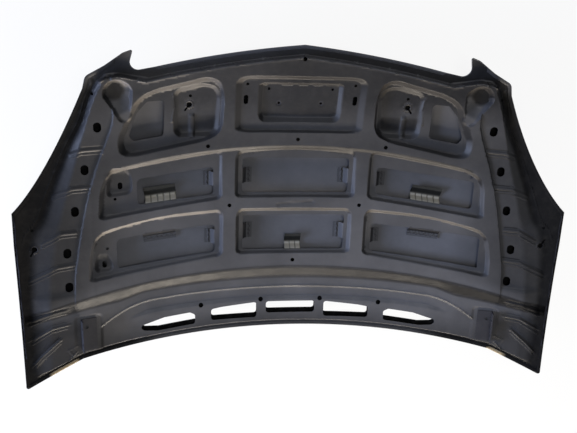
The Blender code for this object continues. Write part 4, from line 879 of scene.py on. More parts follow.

# Painted light and shade on the walls, by which way they face
LIT_WALL_FACING = (0.34, 0.54)
LIT_WALL_TINT = (2.5, 2.28, 1.95)
LIT_WALL_Y = (-0.15, 0.395)
LIT_WALL_SIDES = (1.05, 0.26, 0.3)
FACING_REAR = (0.2, 0.32)
FACING_RIGHT = (0.22, 0.45)
SHADY_WALL = 0.38
SHADY_WALL_END_X = 0.56
SHADY_WALL_TURN = 0.4
WALL_LIGHT_X = (-0.5, 0.0, 0.5)
WALL_LIGHT_SIDES = (0.7, 0.45, 0.36)
BAND_SIDES = (0.39, 0.43, 0.26)
BAND_EDGES = (0.004, 0.003)
BAND_FADE = 0.005
# Painted highlight along the nose ramp
NOSE_RAMP_LIFT = 2.2
NOSE_RAMP_REACH = 0.8

# Shine, and dust on what faces up
SHINE = 0.09
SPECKLED_SHINE = 0.03
SHINE_PER_TONE = 2.2
DUST = 0.1
DUST_COLOUR = (0.115, 0.108, 0.098, 1)

# Camera of the photograph, and the studio
CAMERA_LENS = 49.805
SENSOR_WIDTH = 36.0
CLIP_END = 60.0
CAMERA_PLACE = (-0.31897, 0.68649, 2.19807)
CAMERA_RIGHT = (0.99128, 0.03761, 0.12626)
CAMERA_UP = (0.00323, 0.95116, -0.30867)
CAMERA_BACK = (-0.1317, 0.30639, 0.94275)
FLOOR_HALF = 14.0
FLOOR_GAP = 0.0005
WHITE = (1, 1, 1, 1)


def bump(t):
    """1 at 0, falling to 0 at 1 on both sides."""
    return np.clip(1.0 - t * t, 0.0, 1.0)**2


def curve_x(curve, y):
    """x of a smooth line at each y."""
    return np.interp(y, curve[0], curve[1])


def cup_floor(x, y):
    """Level inside a cup: a small flat disc with a cone rising round it."""
    off = np.hypot(np.abs(x) - CUP_DISC[0], y - CUP_DISC[1]) - CUP_DISC_RADIUS
    return CUP_LEVEL + CUP_CONE_RISE * smooth(off / CUP_CONE)


def field_level(x, y):
    """Level of the raised field: grid plateau, side strip, nose and rear zones."""
    x = np.abs(x)
    foot, top = curve_x(FLANGE_CURVE, y), curve_x(SLOPE_TOP_CURVE, y)
    from_side = (foot - x) / (foot - top)
    from_nose = (nose_fold_y(x) - y) / NOSE_RAMP
    short = [np.maximum(FIELD_CORNER_ROUND - inside, 0)**2 for inside in (from_side, from_nose)]
    edge = FIELD_CORNER_ROUND - np.sqrt(short[0] + short[1])
    step = smooth((curve_x(STRIP_CURVE, y) - x) / STRIP_STEP)
    merge = smooth((STRIP_MERGE_Y - y) / STRIP_MERGE)
    strip = STRIP_LEVEL + (GRID_LEVEL - STRIP_MERGE_DROP - STRIP_LEVEL) * merge
    across = 1.0 - smooth((x - STEP_END_X) / STEP_FADE)
    behind = smooth((STEP_Y - STEP_BOW * x**2 - y) / RECESS_WALL_FRONT)
    rise = 1.0 - smooth((STEP_RISE_Y - y) / STEP_RISE)
    grid = GRID_LEVEL - STEP_DROP * across * behind * rise
    front = strip + (grid - strip) * step
    band_top = BAND_TOP_Y - BAND_TOP_BOW * x**2
    band_bottom = band_bottom_y(x)
    band = smooth((y - band_bottom) / (band_top - band_bottom))
    zone = REAR_STEP_LEVEL + (front - REAR_STEP_LEVEL) * band
    behind_ridge = ridge_y(x) - y
    ridge = 1.0 - smooth(behind_ridge / RIDGE_RAMP)
    crest = RIDGE_CREST * bump(behind_ridge / RIDGE_CREST_WIDTH)
    swell = smooth((behind_ridge - SWELL_START) / SWELL_WIDTH)
    swell = swell * (1.0 - smooth((x - SWELL_END_X) / SWELL_FADE))
    zone = SLOT_LEVEL + (zone - SLOT_LEVEL) * ridge + crest + SWELL * swell * (1.0 - ridge)
    rear = smooth((y - rear_y(x) - REAR_FLANGE) / REAR_RAMP)
    bead = FLANGE_BEAD * bump((x - foot - FLANGE_BEAD_OFF) / FLANGE_BEAD_WIDTH)
    bead = bead * smooth((y - FLANGE_BEAD_END_Y) / FLANGE_BEAD_FADE)
    nose_crest = NOSE_CREST * bump((from_nose - 1.0) * NOSE_RAMP / NOSE_CREST_WIDTH)
    nose_crest = nose_crest * (x < NOSE_CREST_END_X)
    return zone * smooth(edge) * rear + bead + nose_crest


def on_tongue(x, y, tongue):
    """Places as (along, across) of a tongue, from the middle of its root."""
    (px, py), (dx, dy), _, _ = tongue
    return (x - px) * dx + (y - py) * dy, (x - px) * dy - (y - py) * dx


def tongue_level(level, along, across, tongue):
    """Level along a tongue: down to its foot, and up again in blocks on the rear ones."""
    _, _, width, length = tongue
    sunk_level = sunk(level, along / TONGUE_DROP, FOOT_LEVEL)
    if length < REAR_TONGUE_LENGTH:
        wave = along - WAVE_ALONG - WAVE_SWING * np.sin(across * 2 * pi / WAVE_LENGTH)
        return sunk_level + WAVE_HEIGHT * bump(wave / WAVE_WIDTH)
    rise = np.clip((along - REAR_TONGUE_VALLEY) / (REAR_TONGUE_RISE - REAR_TONGUE_VALLEY), 0.0, 1.0)
    block = tongue_block(along, across, width)
    return sunk_level + (REAR_TONGUE_LEVEL - FOOT_LEVEL) * rise + BLOCK_RISE * block


def tongue_block(along, across, width):
    """1 on the crimped blocks at a rear tongue's root, 0 in the grooves between them."""
    count = 5 if width > WIDE_TONGUE else 3
    phase = (across / width + 0.5) * count
    block = smooth((0.5 - np.abs(phase - np.floor(phase) - 0.5)) / BLOCK_SIDE)
    return block * smooth((BLOCK_LENGTH - along) / BLOCK_END) * smooth(along / BLOCK_END)


def tongue_owner(x, y):
    """Number of the tongue that each place is on, or -1."""
    owner = np.full(np.shape(x), -1)
    for number, tongue in enumerate(ALL_TONGUES):
        along, across = on_tongue(x, y, tongue)
        _, _, width, length = tongue
        inside = (np.abs(across) < width / 2 + MERGE) & (along > -MERGE) & (along < length + MERGE)
        owner = np.where(inside, number, owner)
    return owner


ALL_FORMS = forms()
ALL_RIBS = CROSS_RIBS + [twin(rib) for rib in CROSS_RIBS]
ALL_TONGUES = tongues()


def line_measure(x, y, points, half_width):
    """1 on a bent line, 0 at half_width from it."""
    best = np.full(np.shape(x), 9.0)
    for start, end in zip(points, points[1:]):
        best = np.minimum(best, from_line(x, y, start, end)[1])
    return np.clip(1.0 - best / half_width, 0.0, 1.0)


# Small reliefs as (line, half width, height), right half and both sides
BOTH_BEADS = [
    ([(0.631, -0.256), (0.668, -0.261), (0.739, -0.283)], 0.005, 0.0016),
    ([(0.631, -0.304), (0.675, -0.308), (0.738, -0.338)], 0.005, 0.0016),
    ([(0.658, -0.345), (0.705, -0.385), (0.731, -0.413)], 0.005, 0.0016),
    ([(0.346, 0.262), (0.338, 0.3), (0.342, 0.338)], 0.004, 0.0016),
    ([(0.613, -0.371), (0.636, -0.38), (0.623, -0.398), (0.604, -0.396)], 0.0045, 0.0009),
    ([(0.543, 0.352), (0.527, 0.374), (0.509, 0.39), (0.483, 0.393), (0.453, 0.387), (0.411, 0.38)],
     0.0055, 0.0024),
] + [([(x, y - 0.0095) for x, y in rib], 0.0045, 0.0017) for rib in CROSS_RIBS
] + [([(x, y + 0.0085) for x, y in rib], 0.004, -0.0012) for rib in CROSS_RIBS]
MIDDLE_DENT = [(-0.045, 0.018), (0.05, 0.026)]
MIDDLE_DENT_DEPTH = 0.002
MIDDLE_DENT_WIDTH = 0.009


def relief(x, y):
    """Small beads, dents and waves of the pressing."""
    made = np.zeros(np.shape(x))
    for points, half_width, height in BOTH_BEADS:
        for line in (points, twin(points)):
            made = made + height * smooth(line_measure(x, y, line, half_width))
    made = made - MIDDLE_DENT_DEPTH * smooth(line_measure(x, y, MIDDLE_DENT, MIDDLE_DENT_WIDTH))
    for centre, _ in KEYHOLES:
        off = np.hypot(x - centre[0], y - centre[1])
        made = made + KEY_RING_HEIGHT * bump((off - KEY_RING_RADIUS) / KEY_RING_WIDTH)
        if abs(centre[0]) < KEY_DENT_END_X:
            made = made - KEY_DENT * smooth(1.0 - off / KEY_DENT_RADIUS)
    return made + key_ridge(x, y)


def key_ridge(x, y):
    """The ridge across the step of each key floor: steep inside, gentle outside."""
    off = np.abs(x) - KEY_RIDGE_X
    shape = smooth(off / KEY_RIDGE_STEEP) * (1.0 - smooth((off - KEY_RIDGE_TOP) / KEY_RIDGE_GENTLE))
    ends = smooth((y - KEY_RIDGE_Y[0]) / KEY_RIDGE_FADE) * smooth((KEY_RIDGE_Y[1] - y) / KEY_RIDGE_FADE)
    return KEY_RIDGE_HEIGHT * shape * ends


def place_tone(x, y):
    """Tone of the primer over the grid and down the slopes, with painted light and shade: lighter over the
    rear of the grid, darker towards the nose and down the slopes.
    """
    y = y + REAR_BOW * x**2
    tone = np.interp(y, TONE_Y, TONE)
    rear = SLOPE_TONE_REAR * bump((y - SLOPE_TONE_REAR_Y) / SLOPE_TONE_REAR_REACH)
    return tone + (SLOPE_TONE - tone) * between(np.abs(x) - rear, *SLOPE_TONE_X)


def edge_tone(x, y):
    """Tone of the flange and hem: near black at the sides, lighter at the nose and its horns."""
    side = between(np.abs(x), *EDGE_TONE_X)
    nose = 1.0 + (NOSE_EDGE_LIFT + HORN_TONE_LIFT * side) * smooth((y - NOSE_EDGE_Y) / NOSE_EDGE_FADE)
    return (MIDDLE_EDGE_TONE + (EDGE_TONE - MIDDLE_EDGE_TONE) * side) * nose


def tinted(tone):
    """Primer colours from tones."""
    return tone[:, None] * np.array(PRIMER_TINT)[None, :]


def painted_wall_light(x, y, normals, owner):
    """Painted light and shade by which way each place faces: pale warm light on the walls that face the rear,
    stronger on the left.

    The long slopes and the band have less of it and are painted darker, the nose ramp gets a painted
    highlight, and the walls that face right get painted shade.
    """
    rearward = -normals[:, 1]
    made = 1.0 + between(rearward, *FACING_REAR) * (np.interp(x, WALL_LIGHT_X, WALL_LIGHT_SIDES) - 1.0)
    band_top = BAND_TOP_Y - BAND_TOP_BOW * x**2
    in_band = smooth((band_top + BAND_EDGES[0] - y) / BAND_FADE)
    in_band = in_band * smooth((y - band_bottom_y(x) + BAND_EDGES[1]) / BAND_FADE)
    made = made * (1.0 + in_band * (np.interp(x, WALL_LIGHT_X, BAND_SIDES) - 1.0))
    in_grid = (y > LIT_WALL_Y[0]) & (y < LIT_WALL_Y[1]) & (owner < 0)
    wall = between(rearward, *LIT_WALL_FACING) * in_grid
    tint = np.interp(x, WALL_LIGHT_X, LIT_WALL_SIDES)[:, None] * np.array(LIT_WALL_TINT)[None, :]
    made = made[:, None] + wall[:, None] * (tint - made[:, None])
    from_nose = (nose_fold_y(np.abs(x)) - y) / NOSE_RAMP
    ramp = bump((from_nose - 0.5) / NOSE_RAMP_REACH) * (np.abs(x) < NOSE_CREST_END_X)
    shady = between(normals[:, 0], *FACING_RIGHT) * (np.abs(x) < SHADY_WALL_END_X)
    shady = shady * (1.0 - smooth(rearward / SHADY_WALL_TURN))
    return made * ((1.0 + (NOSE_RAMP_LIFT - 1.0) * ramp) * (1.0 - (1.0 - SHADY_WALL) * shady))[:, None]


def panel_colours(x, y, owner):
    """Colour of the panel at each place."""
    share = smooth(np.maximum(field_level(x, y), np.where(owner >= 0, EDGE_DEPTH, 0.0)) / EDGE_DEPTH)
    rim = edge_tone(x, y)
    tone = rim + (place_tone(x, y) - rim) * share
    for side in (1, -1):
        cup = cup_measure(side)(x, y) > CUP_INSIDE
        off = np.hypot(x - side * CUP_DISC[0], y - CUP_DISC[1]) - CUP_DISC_RADIUS
        cup_tone = CUP_DISC_TONE + (CUP_CONE_TONE - CUP_DISC_TONE) * smooth(off / CUP_DISC_FADE)
        tone = np.where(cup, cup_tone, tone)
    colours = tinted(tone)
    groove, block_colour = np.array(GROOVE_COLOUR), np.array(BLOCK_COLOUR)
    for number, tongue in enumerate(ALL_TONGUES):
        _, direction, width, length = tongue
        along, across = on_tongue(x, y, tongue)
        here = (owner == number)[:, None]
        if length < REAR_TONGUE_LENGTH:
            shaded = here & (along < TONGUE_DROP)[:, None] & (direction[1] < -0.5)
            colours = np.where(shaded, colours * FRONT_TONGUE_SHADE, colours)
            continue
        crimped = groove + (block_colour - groove) * tongue_block(along, across, width)[:, None]
        part = np.where((along < BLOCK_LENGTH)[:, None], crimped, np.array(PLATE_COLOUR))
        colours = np.where(here, part, colours)
    return colours


def skin_colours(x, y):
    """Colour of the skin: as the panel in the large openings, lifted there by painted light against the shade
    under the panel, and painted shadow, near black, behind the small holes.
    """
    seen = np.zeros(np.shape(x), dtype=bool)
    for loop in large_openings():
        seen |= holds(inset(loop, [-SEEN_MARGIN] * len(loop)), x, y)
    return tinted(np.where(seen, place_tone(x, y) * SKIN_LIGHT_LIFT, SKIN_SHADOW_TONE))


def hem_colours(x, y):
    """Colour of the hem, with the two places where the paint is off."""
    colours = tinted(edge_tone(x, y))
    for chip in CHIPS:
        bare = smooth(line_measure(x, y, chip, CHIP_HALF_WIDTH) * CHIP_EDGE)[:, None]
        colours = colours + (np.array(CHIP_COLOUR) - colours) * bare
    return colours


def set_tone(made, colours):
    """Keep the colours, with the specular level as alpha, as an attribute that the primer reads."""
    layer = made.data.color_attributes.new("tone", "FLOAT_COLOR", "POINT")
    shine = np.clip(SHINE_PER_TONE * colours.mean(axis=1), 0.0, SHINE)
    layer.data.foreach_set("color", np.column_stack([colours, shine]).ravel())


def vertex_places(made):
    """x and y of each vertex."""
    flat = np.zeros(3 * len(made.data.vertices))
    made.data.vertices.foreach_get("co", flat)
    return flat[0::3], flat[1::3]


def panel_level(x, y, owner):
    """Level of the inner panel, with all forms pressed in."""
    level = field_level(x, y)
    for measure, floor, _ in ALL_FORMS:
        level = sunk(level, measure(x, y), floor(level, x, y))
    for rib in ALL_RIBS:
        level = level + RIB_HEIGHT * smooth(rib_measure(x, y, rib)) * smooth(level / FOOT_LEVEL)
    level = level + relief(x, y)
    for number, tongue in enumerate(ALL_TONGUES):
        level = np.where(owner == number, tongue_level(level, *on_tongue(x, y, tongue), tongue), level)
    return level


def clear_points(known, step, edge_loop):
    """Grid places inside a loop that keep clear of the points already there."""
    tree = KDTree(len(known))
    for i, (x, y) in enumerate(known):
        tree.insert((x, y, 0.0), i)
    tree.balance()
    xs = np.arange(-HALF_WIDTH, HALF_WIDTH, step)
    rows = np.arange(-HALF_LENGTH, HALF_LENGTH, step * ROW_STEP)
    gx = np.concatenate([xs + (step / 2 if i % 2 else 0.0) for i in range(len(rows))])
    gy = np.repeat(rows, len(xs))
    inside = holds(edge_loop, gx, gy)
    made = []
    for x, y in zip(gx[inside].tolist(), gy[inside].tolist()):
        if tree.find((x, y, 0.0))[2] > CLEAR_OF_RING * step:
            made.append((x, y))
    return made


def thin_out(points, nearest):
    """Points without those closer than nearest to one already kept."""
    cells, kept = {}, []
    for x, y in points:
        cell = (int(x // nearest), int(y // nearest))
        close = False
        for i in (-1, 0, 1):
            for j in (-1, 0, 1):
                for ox, oy in cells.get((cell[0] + i, cell[1] + j), ()):
                    close = close or hypot(ox - x, oy - y) < nearest
        if not close:
            cells.setdefault(cell, []).append((x, y))
            kept.append((x, y))
    return kept


def sheet_plan(loops, lines, edge_loop, cut, kept, grid):
    """Plan triangulation of a sheet, open inside the loops of cut, apart from those of kept."""
    points, edges = [], []
    for loop in [edge_loop] + loops:
        first = len(points)
        points += loop
        edges += [(first + i, first + (i + 1) % len(loop)) for i in range(len(loop))]
    points += lines
    points += clear_points(points, grid, edge_loop)
    flat = [Vector(p) for p in points]
    made, _, faces, _, _, _ = delaunay_2d_cdt(flat, edges, [], 0, WELD)
    place = np.array([(v.x, v.y) for v in made])
    tri = np.array(faces)
    middle = place[tri].mean(axis=1)
    inside = holds(edge_loop, middle[:, 0], middle[:, 1])
    open_here = any_holds(cut, middle[:, 0], middle[:, 1])
    if kept:
        open_here &= ~any_holds(kept, middle[:, 0], middle[:, 1])
    return place, tri[inside & ~open_here]


def curve_points():
    """Places along the folds of the field, so that its steps are crisp."""
    made = []

    def put(xs, ys):
        made.extend(zip(xs.tolist(), ys.tolist()))

    ys = stations(FLANGE_LINE[0][1], FLANGE_LINE[-1][1], LINE_STEP)
    for side in (1, -1):
        for curve in (FLANGE_CURVE, SLOPE_TOP_CURVE):
            put(side * curve_x(curve, ys), ys)
        for share in STRIP_SHARES:
            put(side * (curve_x(STRIP_CURVE, ys) - STRIP_STEP * share), ys)
    across = stations(-BAND_END, BAND_END, LINE_STEP)
    ax = np.abs(across)
    for share in RAMP_SHARES:
        put(across, ridge_y(ax) - RIDGE_RAMP * share)
        put(across, nose_fold_y(ax) - NOSE_RAMP * share)
    for off in NOSE_CREST_OFFSETS:
        put(across, nose_fold_y(ax) - NOSE_RAMP - off)
    for share in RAMP_SHARES:
        put(across, rear_y(ax) + REAR_FLANGE + REAR_RAMP * share)
        put(across, STEP_Y - STEP_BOW * ax**2 - RECESS_WALL_FRONT * share)
        put(across, ridge_y(ax) - SWELL_START - SWELL_WIDTH * share)
    for shift in BAND_TOP_OFFSETS:
        put(across, BAND_TOP_Y - BAND_TOP_BOW * ax**2 + shift)
    for shift in BAND_BOTTOM_OFFSETS:
        put(across, band_bottom_y(ax) + shift)
    for rib in ALL_RIBS:
        made += beside(rib, RIB_HALF_WIDTH)
    for off in KEY_RIDGE_OFFSETS:
        for side in (1, -1):
            made += [(side * (KEY_RIDGE_X + off), float(y)) for y in stations(*KEY_RIDGE_Y, FINE_STEP)]
    for side in (1, -1):
        for off in CUP_OFFSETS:
            made += ring(CUP_DISC, CUP_DISC_RADIUS + off, CUP_POINTS, side)
        for off in FLANGE_BEAD_OFFSETS:
            put(side * (curve_x(FLANGE_CURVE, ys) + FLANGE_BEAD_OFF + off), ys)
    for centre, _ in KEYHOLES:
        for radius in KEY_RADII:
            made += ring(centre, radius, KEY_POINTS)
    for points, half_width, _ in BOTH_BEADS:
        made += beside(points, half_width) + beside(twin(points), half_width)
    return made


def beside(points, half_width):
    """Places along a bent line and beside it."""
    made = []
    for (ax, ay), (bx, by) in zip(points, points[1:]):
        length = hypot(bx - ax, by - ay)
        dx, dy = (bx - ax) / length, (by - ay) / length
        for along in stations(0.0, length, FINE_STEP).tolist():
            for share in BESIDE_SHARES:
                off = share * half_width
                made.append((ax + dx * along - dy * off, ay + dy * along + dx * off))
    return made


def sheet_object(name, place, tri, low, normals, thickness, two_sided=True):
    """Sheet from a plan: heights of its lower face, and normals of its upper one."""
    used, index = np.unique(tri, return_inverse=True)
    tri = index.reshape(tri.shape)
    place, low, normals = place[used], low[used], normals[used]
    count = len(place)
    flip = np.cross(place[tri[:, 1]] - place[tri[:, 0]], place[tri[:, 2]] - place[tri[:, 0]]) < 0
    tri[flip] = tri[flip][:, ::-1]
    sides = np.vstack([tri[:, [0, 1]], tri[:, [1, 2]], tri[:, [2, 0]]])
    key = np.sort(sides, axis=1)
    numbers = key[:, 0].astype(np.int64) * count + key[:, 1]
    _, first, total = np.unique(numbers, return_index=True, return_counts=True)
    rim = sides[first[total == 1]]
    verts = np.vstack([np.column_stack([place, low + thickness]), np.column_stack([place, low])])
    wall = np.column_stack([rim[:, 1], rim[:, 0], rim[:, 0] + count, rim[:, 1] + count])
    lower = tri[:, ::-1] + count if two_sided else np.zeros((0, 3), dtype=int)
    mesh = bpy.data.meshes.new(name)
    mesh.from_pydata(verts.tolist(), [], tri.tolist() + lower.tolist() + wall.tolist())
    mesh.update()
    mesh.polygons.foreach_set("use_smooth", np.ones(len(mesh.polygons), dtype=bool))
    face_normals = np.zeros(3 * len(mesh.polygons))
    mesh.polygons.foreach_get("normal", face_normals)
    wall_normals = face_normals.reshape(-1, 3)[len(tri) + len(lower):]
    loop_normals = [normals[tri.ravel()], -normals[lower.ravel() - count], np.repeat(wall_normals, 4, axis=0)]
    mesh.normals_split_custom_set(np.vstack(loop_normals).tolist())
    if not two_sided:
        work = bmesh.new()
        work.from_mesh(mesh)
        loose = [v for v in work.verts if not v.link_faces]
        bmesh.ops.delete(work, geom=loose, context="VERTS")
        work.to_mesh(mesh)
        work.free()
    return in_scene(name, mesh)


def in_scene(name, data):
    """New object of the scene."""
    made = bpy.data.objects.new(name, data)
    scene.collection.objects.link(made)
    return made


def surface_normals(height, x, y, step=0.0004):
    """Unit normals of a height function."""
    slope_x = (height(x + step, y) - height(x - step, y)) / (2 * step)
    slope_y = (height(x, y + step) - height(x, y - step)) / (2 * step)
    normals = np.column_stack([-slope_x, -slope_y, np.ones(len(x))])
    return normals / np.linalg.norm(normals, axis=1)[:, None]


def any_holds(loops, x, y):
    """Whether any of the closed outlines holds each point."""
    return np.any([holds(loop, x, y) for loop in loops], axis=0)


def make_panel():
    """Fine inner panel."""
    points = []
    for measure, _, centre in ALL_FORMS:
        for value in RING_VALUES:
            points += contour(measure, centre, value)
    openings = large_openings() + slot_outlines() + hole_outlines()
    openings = [split_long(loop, RING_STEP) for loop in openings]
    roots = [tongue_outline(t, -MERGE) for t in ALL_TONGUES]
    rims = [split_long(tongue_outline(t, 0.0), RING_STEP) for t in ALL_TONGUES]
    shape = outline()
    edge = inset(shape, [SKIN_SHEET + SHEET_GAP] * len(shape))
    for (px, py), (dx, dy), width, length in ALL_TONGUES:
        for along in np.arange(0.002, length, TONGUE_STEP_ALONG).tolist():
            for across in np.arange(-width / 2 + 0.001, width / 2, TONGUE_STEP_ACROSS).tolist():
                points.append((px + dx * along + dy * across, py + dy * along - dx * across))
    lines = thin_out(points + curve_points(), NEAREST)
    inner = np.array(lines)
    lines = [p for p, ok in zip(lines, holds(edge, inner[:, 0], inner[:, 1])) if ok]
    place, tri = sheet_plan(openings + rims, lines, edge, openings, roots, PANEL_GRID)
    x, y = place[:, 0], place[:, 1]
    owner = tongue_owner(x, y)

    def height(px, py):
        return skin_z(px, py) + SKIN_SHEET + SHEET_GAP + panel_level(px, py, owner)
    normals = surface_normals(height, x, y)
    made = sheet_object("inner_panel_sheet", place, tri, height(x, y), normals, PANEL_SHEET, two_sided=False)
    x, y = vertex_places(made)
    owner = tongue_owner(x, y)
    wide_normals = surface_normals(height, x, y, WALL_LIGHT_NORMAL_STEP)
    # Panel colours times the painted light and shade that follows which way each place faces
    set_tone(made, panel_colours(x, y, owner) * painted_wall_light(x, y, wide_normals, owner))
    return made


def make_skin():
    """Outer skin with its slots, up to the line where its hem turns."""
    edge = outline()
    slots = []
    for loop in slot_outlines():
        loop = split_long(loop, RING_STEP)
        middle = sum(y for _, y in loop) / len(loop)
        slots.append([(x, y + SLOT_LEDGE * float(smooth((middle - y) / SLOT_LEDGE_FADE))) for x, y in loop])
    outer = inset(edge, [HEM_FOLD / 2] * len(edge))
    place, tri = sheet_plan(slots, [(0.0, CROWN_LOW_Y)], outer, slots, [], SKIN_GRID)
    x, y = place[:, 0], place[:, 1]
    normals = surface_normals(skin_z, x, y)
    made = sheet_object("outer_skin_sheet", place, tri, skin_z(x, y), normals, SKIN_SHEET)
    set_tone(made, skin_colours(*vertex_places(made)))
    return made, outer


def make_hem(outer):
    """The hem: a half round fold and the lip, as one closed band round the edge."""
    half = HEM_FOLD / 2
    angles = [-pi / 2 + pi * i / HEM_PIECES for i in range(HEM_PIECES + 1)]
    fold = [(half * cos(angle), half + half * sin(angle)) for angle in angles]
    edge = outline()
    verts, faces = [], []
    rings = len(fold) + 4
    for i, (ox, oy) in enumerate(outer):
        normal, miter = outward(edge, i)
        lip = max(lip_width(*edge[i]) - half, HEM_LEAST)
        inner = HEM_FOLD - SKIN_SHEET
        tip = HEM_EDGE - lip
        for a, b in fold + [(tip, HEM_FOLD), (-lip, HEM_FOLD - HEM_EDGE), (tip, inner), (0.0, inner)]:
            px, py = ox + normal.x * a * miter, oy + normal.y * a * miter
            verts.append((px, py, float(skin_z(px, py)) + b))
        at, after = i * rings, (i + 1) % len(outer) * rings
        faces += [(at + k, after + k, after + k + 1, at + k + 1) for k in range(rings - 1)]
    mesh = bpy.data.meshes.new("hem_band")
    mesh.from_pydata(verts, [], faces)
    work = bmesh.new()
    work.from_mesh(mesh)
    bmesh.ops.remove_doubles(work, verts=work.verts, dist=HEM_WELD)
    bmesh.ops.recalc_face_normals(work, faces=work.faces)
    for face in work.faces:
        face.smooth = True
    work.to_mesh(mesh)
    work.free()
    made = in_scene("hem_band", mesh)
    set_tone(made, hem_colours(*vertex_places(made)))
    return made


class Nodes:
    """Node tree of a material or world, with short ways to add and link."""

    def __init__(self, user):
        user.use_nodes = True
        self.tree = user.node_tree

    def add(self, kind, **values):
        """New node. A value whose name, with spaces for underscores, is a socket's is set there."""
        made = self.tree.nodes.new("ShaderNode" + kind)
        for key, value in values.items():
            socket = key.replace("_", " ")
            if socket in made.inputs:
                made.inputs[socket].default_value = value
            else:
                setattr(made, key, value)
        return made

    def link(self, a, out, b, into):
        """Link a named or numbered output to an input."""
        self.tree.links.new(a.outputs[out], b.inputs[into])

    def noise(self, scale, detail, roughness=0.5):
        """Noise over the object's own coordinates."""
        made = self.add("TexNoise", Scale=scale, Detail=detail, Roughness=roughness)
        self.link(self.add("TexCoord"), "Object", made, "Vector")
        return made

    def ranged(self, source, out, **limits):
        """A value carried from one range to another."""
        made = self.add("MapRange", **limits)
        self.link(source, out, made, "Value")
        return made

    def two_tone(self, noise, start, dark, end, light):
        """Noise as a ramp between two colours."""
        made = self.add("ValToRGB")
        for stop, place, colour in zip(made.color_ramp.elements, (start, end), (dark, light)):
            stop.position = place
            stop.color = (*colour, 1)
        self.link(noise, "Fac", made, "Fac")
        return made

    def relief(self, noise, strength, distance):
        """Bump from noise."""
        made = self.add("Bump", Strength=strength, Distance=distance)
        self.link(noise, "Fac", made, "Height")
        return made

    def joined(self, kind, first, second, **values):
        """Node that takes two others' first outputs in its first two inputs."""
        made = self.add(kind, **values)
        self.link(first[0], first[1], made, 0)
        self.link(second[0], second[1], made, 1)
        return made

    def shade(self, share, first, second, output):
        """Mix two shaders by a share and send the mix to the output."""
        mix = self.add("MixShader")
        for number, source in enumerate((share, first, second)):
            self.link(source, 0, mix, number)
        self.link(mix, 0, self.tree.nodes[output], "Surface")


def new_material(name, specular):
    """New material, its nodes and its shader."""
    made = bpy.data.materials.new(name)
    nodes = Nodes(made)
    shader = nodes.tree.nodes["Principled BSDF"]
    shader.inputs["Specular IOR Level"].default_value = specular
    return made, nodes, shader


def paint(name, dark, light, placed=False):
    """Satin primer with mottling, dust on what faces up, fine grain and soft waves."""
    made, nodes, shader = new_material(name, SHINE)
    ramp = nodes.two_tone(nodes.noise(7.0, 7.0, 0.62), 0.34, dark, 0.68, light)
    split = nodes.add("SeparateXYZ")
    nodes.link(nodes.add("NewGeometry"), "Normal", split, "Vector")
    level = nodes.ranged(split, "Z", From_Min=0.8, To_Max=DUST)
    specks = nodes.ranged(nodes.noise(46.0, 9.0, 0.7), "Fac", From_Min=0.46, From_Max=0.72)
    both = nodes.joined("Math", (level, "Result"), (specks, "Result"), operation="MULTIPLY")
    dusty = nodes.add("MixRGB", Color2=DUST_COLOUR)
    nodes.link(both, 0, dusty, "Fac")
    if placed:
        # The tone attribute brings each sheet's colour with its painted light and shade, and its specular
        # level
        tone = nodes.add("Attribute", attribute_name="tone")
        mottled = nodes.add("MixRGB", Fac=1.0, blend_type="MULTIPLY")
        nodes.link(tone, "Color", mottled, "Color1")
        nodes.link(ramp, "Color", mottled, "Color2")
        nodes.link(mottled, "Color", dusty, "Color1")
        nodes.link(tone, "Alpha", shader, "Specular IOR Level")
    else:
        nodes.link(ramp, "Color", dusty, "Color1")
    nodes.link(dusty, "Color", shader, "Base Color")
    wear = nodes.noise(22.0, 6.0, 0.6)
    wear = nodes.ranged(wear, "Fac", From_Min=0.3, From_Max=0.7, To_Min=0.28, To_Max=0.46)
    nodes.link(wear, "Result", shader, "Roughness")
    fine = nodes.relief(nodes.noise(650.0, 3.0), 0.25, 0.00012)
    soft = nodes.relief(nodes.noise(16.0, 2.0), 0.5, 0.0016)
    nodes.link(fine, "Normal", soft, "Normal")
    nodes.link(soft, "Normal", shader, "Normal")
    return made


def speckled(name, low, high, rough, metallic, scale, depth):
    """Plain mottled material for pads, nuts and sealer."""
    made, nodes, shader = new_material(name, SPECKLED_SHINE)
    shader.inputs["Metallic"].default_value = metallic
    noise = nodes.noise(scale, 6.0)
    nodes.link(nodes.two_tone(noise, 0.35, low, 0.65, high), "Color", shader, "Base Color")
    roughness = nodes.ranged(noise, "Fac", To_Min=rough - 0.1, To_Max=rough + 0.1)
    nodes.link(roughness, "Result", shader, "Roughness")
    nodes.link(nodes.relief(noise, 0.4, depth), "Normal", shader, "Normal")
    return made


def clothe(made, material):
    """Give an object one material."""
    made.data.materials.clear()
    made.data.materials.append(material)


def finish_piece(made, node_names):
    """Put a new piece on the body, in place of its nodes."""
    clothe(made, primer)
    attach(made, "root")
    if node_names:
        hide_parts(*node_names)


def repaint(name, material, bevel=0.0):
    """New material for a CAD node that stays, and softened edges."""
    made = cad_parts[name]
    clothe(made, material)
    if bevel:
        soft = made.modifiers.new("soft_edges", "BEVEL")
        soft.width = bevel
        soft.segments = 2
        soft.limit_method = "ANGLE"


def make_camera():
    """The photograph's camera."""
    data = bpy.data.cameras.new("camera")
    data.lens = CAMERA_LENS
    data.sensor_width = SENSOR_WIDTH
    data.sensor_fit = "HORIZONTAL"
    data.clip_end = CLIP_END
    turn = Matrix((CAMERA_RIGHT, CAMERA_UP, CAMERA_BACK)).transposed().to_4x4()
    scene.camera = in_scene("camera", data)
    scene.camera.matrix_world = Matrix.Translation(CAMERA_PLACE) @ turn


def lamp(name, place, target, width, height, power, colour):
    """Soft area lamp aimed at a place."""
    data = bpy.data.lights.new(name, "AREA")
    data.shape = "RECTANGLE"
    data.size, data.size_y = width, height
    data.energy = power
    data.color = colour
    made = in_scene(name, data)
    made.visible_camera = False
    aim = Vector(target) - Vector(place)
    made.matrix_world = Matrix.Translation(place) @ aim.to_track_quat("-Z", "Y").to_matrix().to_4x4()


